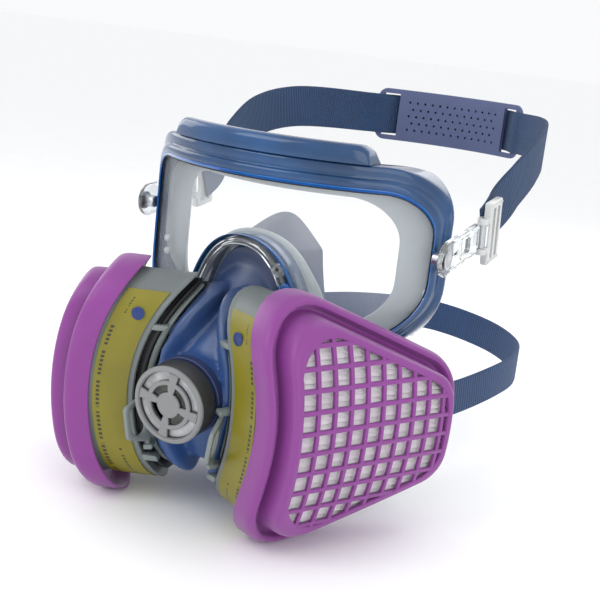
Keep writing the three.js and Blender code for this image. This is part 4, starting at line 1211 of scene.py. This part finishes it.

# %% [markdown]
# ## The straps
# Both straps are flat webbing. Each is a thin rounded section swept along a smooth curve, and
# the grid's UV map gives length and width for the weave: the head strap has fine ribs across it,
# the neck strap is a plain flat knit.

# %% Strap sweep
def spline(points, steps):
    """Centripetal curve through points, evenly spaced, and its length in mm."""
    pts = [Vector(p) for p in points]
    fine = []
    for k in range(len(pts) - 1):
        p1, p2 = pts[k], pts[k + 1]
        p0 = pts[k - 1] if k else 2 * p1 - p2
        p3 = pts[k + 2] if k + 2 < len(pts) else 2 * p2 - p1
        d0, d1, d2 = (math.sqrt((b - a).length) for a, b in ((p0, p1), (p1, p2), (p2, p3)))
        t1 = ((p1 - p0) / d0 - (p2 - p0) / (d0 + d1) + (p2 - p1) / d1) * d1
        t2 = ((p2 - p1) / d1 - (p3 - p1) / (d1 + d2) + (p3 - p2) / d2) * d1
        for j in range(40):
            w = j / 40
            fine.append(p1 + t1 * w + (3 * (p2 - p1) - 2 * t1 - t2) * w ** 2
                        + (2 * (p1 - p2) + t1 + t2) * w ** 3)
    fine.append(pts[-1])
    runs = [0.0]
    for a, b in zip(fine, fine[1:]):
        runs.append(runs[-1] + (b - a).length)
    even, at = [], 0
    for k in range(steps + 1):
        want = runs[-1] * k / steps
        while at < len(fine) - 2 and runs[at + 1] < want:
            at += 1
        share = (want - runs[at]) / max(1e-9, runs[at + 1] - runs[at])
        even.append(fine[at].lerp(fine[at + 1], share))
    return even, runs[-1]


def both_sides(points):
    """The left half of a strap's path, mirrored on to the right."""
    return points + [(-x, y, z) for x, y, z in reversed(points[:-1])]


def strap(name, points, width, thick, steps):
    """Webbing with rounded edges along a curve; returns the piece and its length in mm."""
    path, length = spline(both_sides(points), steps)
    half, edge = width / 2, thick / 2
    section = []
    for side in (1, -1):
        turns = [math.radians(-90 * side + 30 * k) for k in range(7)]
        section += [(side * (half - edge) + edge * math.cos(a), edge * math.sin(a)) for a in turns]
        section += [(side * (half - edge - (width - thick) * k / 12), side * edge)
                    for k in range(1, 12)]
    rows = []
    for k, point in enumerate(path):
        along = (path[min(k + 1, steps)] - path[max(k - 1, 0)]).normalized()
        out = Vector((along.y, -along.x, 0)).normalized()
        across = along.cross(out)
        rows.append([point + across * a + out * b for a, b in section])
    return smooth(capped(laid_grid(name, rows)), 60), length


def webbing(name, color, rib, ribs_along, threads, depth):
    """Knitted webbing from the strap's own UV map: ribs across it and fine threads along it."""
    look = finish(name, color, 0.82, 0.10, 1500, 0.25, patch=60, Sheen_Weight=0.08)
    uv = add_node(look, "UVMap").outputs["UV"]
    ribs, fibres = (add_node(look, "TexWave", {"Scale": count * math.pi / 10, "Distortion": 0.0},
                             {"Vector": uv}, bands_direction=direction).outputs["Fac"]
                    for direction, count in (("Y", ribs_along), ("X", threads)))
    height = add_node(look, "Math", {1: 0.35}, {0: fibres, 2: ribs}, operation="MULTIPLY_ADD")
    relief(look, height.outputs["Value"], depth, 0.6 * MM)
    dim = add_node(look, "Math", {1: 0.55}, {0: ribs}, operation="MULTIPLY")
    recolor(look, dim.outputs["Value"], rib)
    return look


PAD_ROUTE = [(57, -3.8), (49.5, -3.4), (43.3, 0), (37, 3.4), (30, 3.6), (15, 3.4), (0, 3.4)]
head_path = [(82.4, 44, 26), (82.6, 58, 33), (86, 76, 46), (87.5, 104, 59), (80, 138, 66)]
head_path += [on_pad(arc, 0, lift) for arc, lift in PAD_ROUTE]
head, head_length = strap("head_strap_look", head_path, 25, 1.6, 520)
neck_path = [(50.3, 4, -72), (50.8, 17, -72), (60, 40, -73), (72, 78, -72), (82, 118, -68),
             (81, 150, -68),
             (70, 180, -68), (44, 203, -66), (0, 214, -64)]
neck, neck_length = strap("neck_strap_look", neck_path, 20, 1.6, 360)
head_webbing = webbing("head_webbing", (0.017, 0.058, 0.150), (0.008, 0.028, 0.080), 330, 60, 0.8)
neck_webbing = webbing("neck_webbing", (0.022, 0.058, 0.150), (0.014, 0.040, 0.11), 260, 48, 0.5)
dress(head, head_webbing, "head_harness", ["head_strap"])
dress(neck, neck_webbing, "neck_loop", ["neck_strap"])
print("strap lengths:", round(head_length), round(neck_length), "mm")

# %% [markdown]
# ## Inner pieces
# The carbon beds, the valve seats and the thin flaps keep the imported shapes. They only need a
# finish here, because little of them shows.

# %% Finishes of the inner pieces
INNER = {"carbon_bed": carbon_grains, "inhalation_seat": plate_plastic, "inhalation_flap": silicone,
         "exhalation_valve_seat": cap_plastic, "exhalation_valve_flap": silicone}
dressed = []
for name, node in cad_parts.items():
    for look in (INNER[stem] for stem in INNER if name.startswith(stem)):
        node.data.materials.clear()
        node.data.materials.append(look)
        dressed.append(name)
print("inner pieces:", ", ".join(sorted(dressed)))
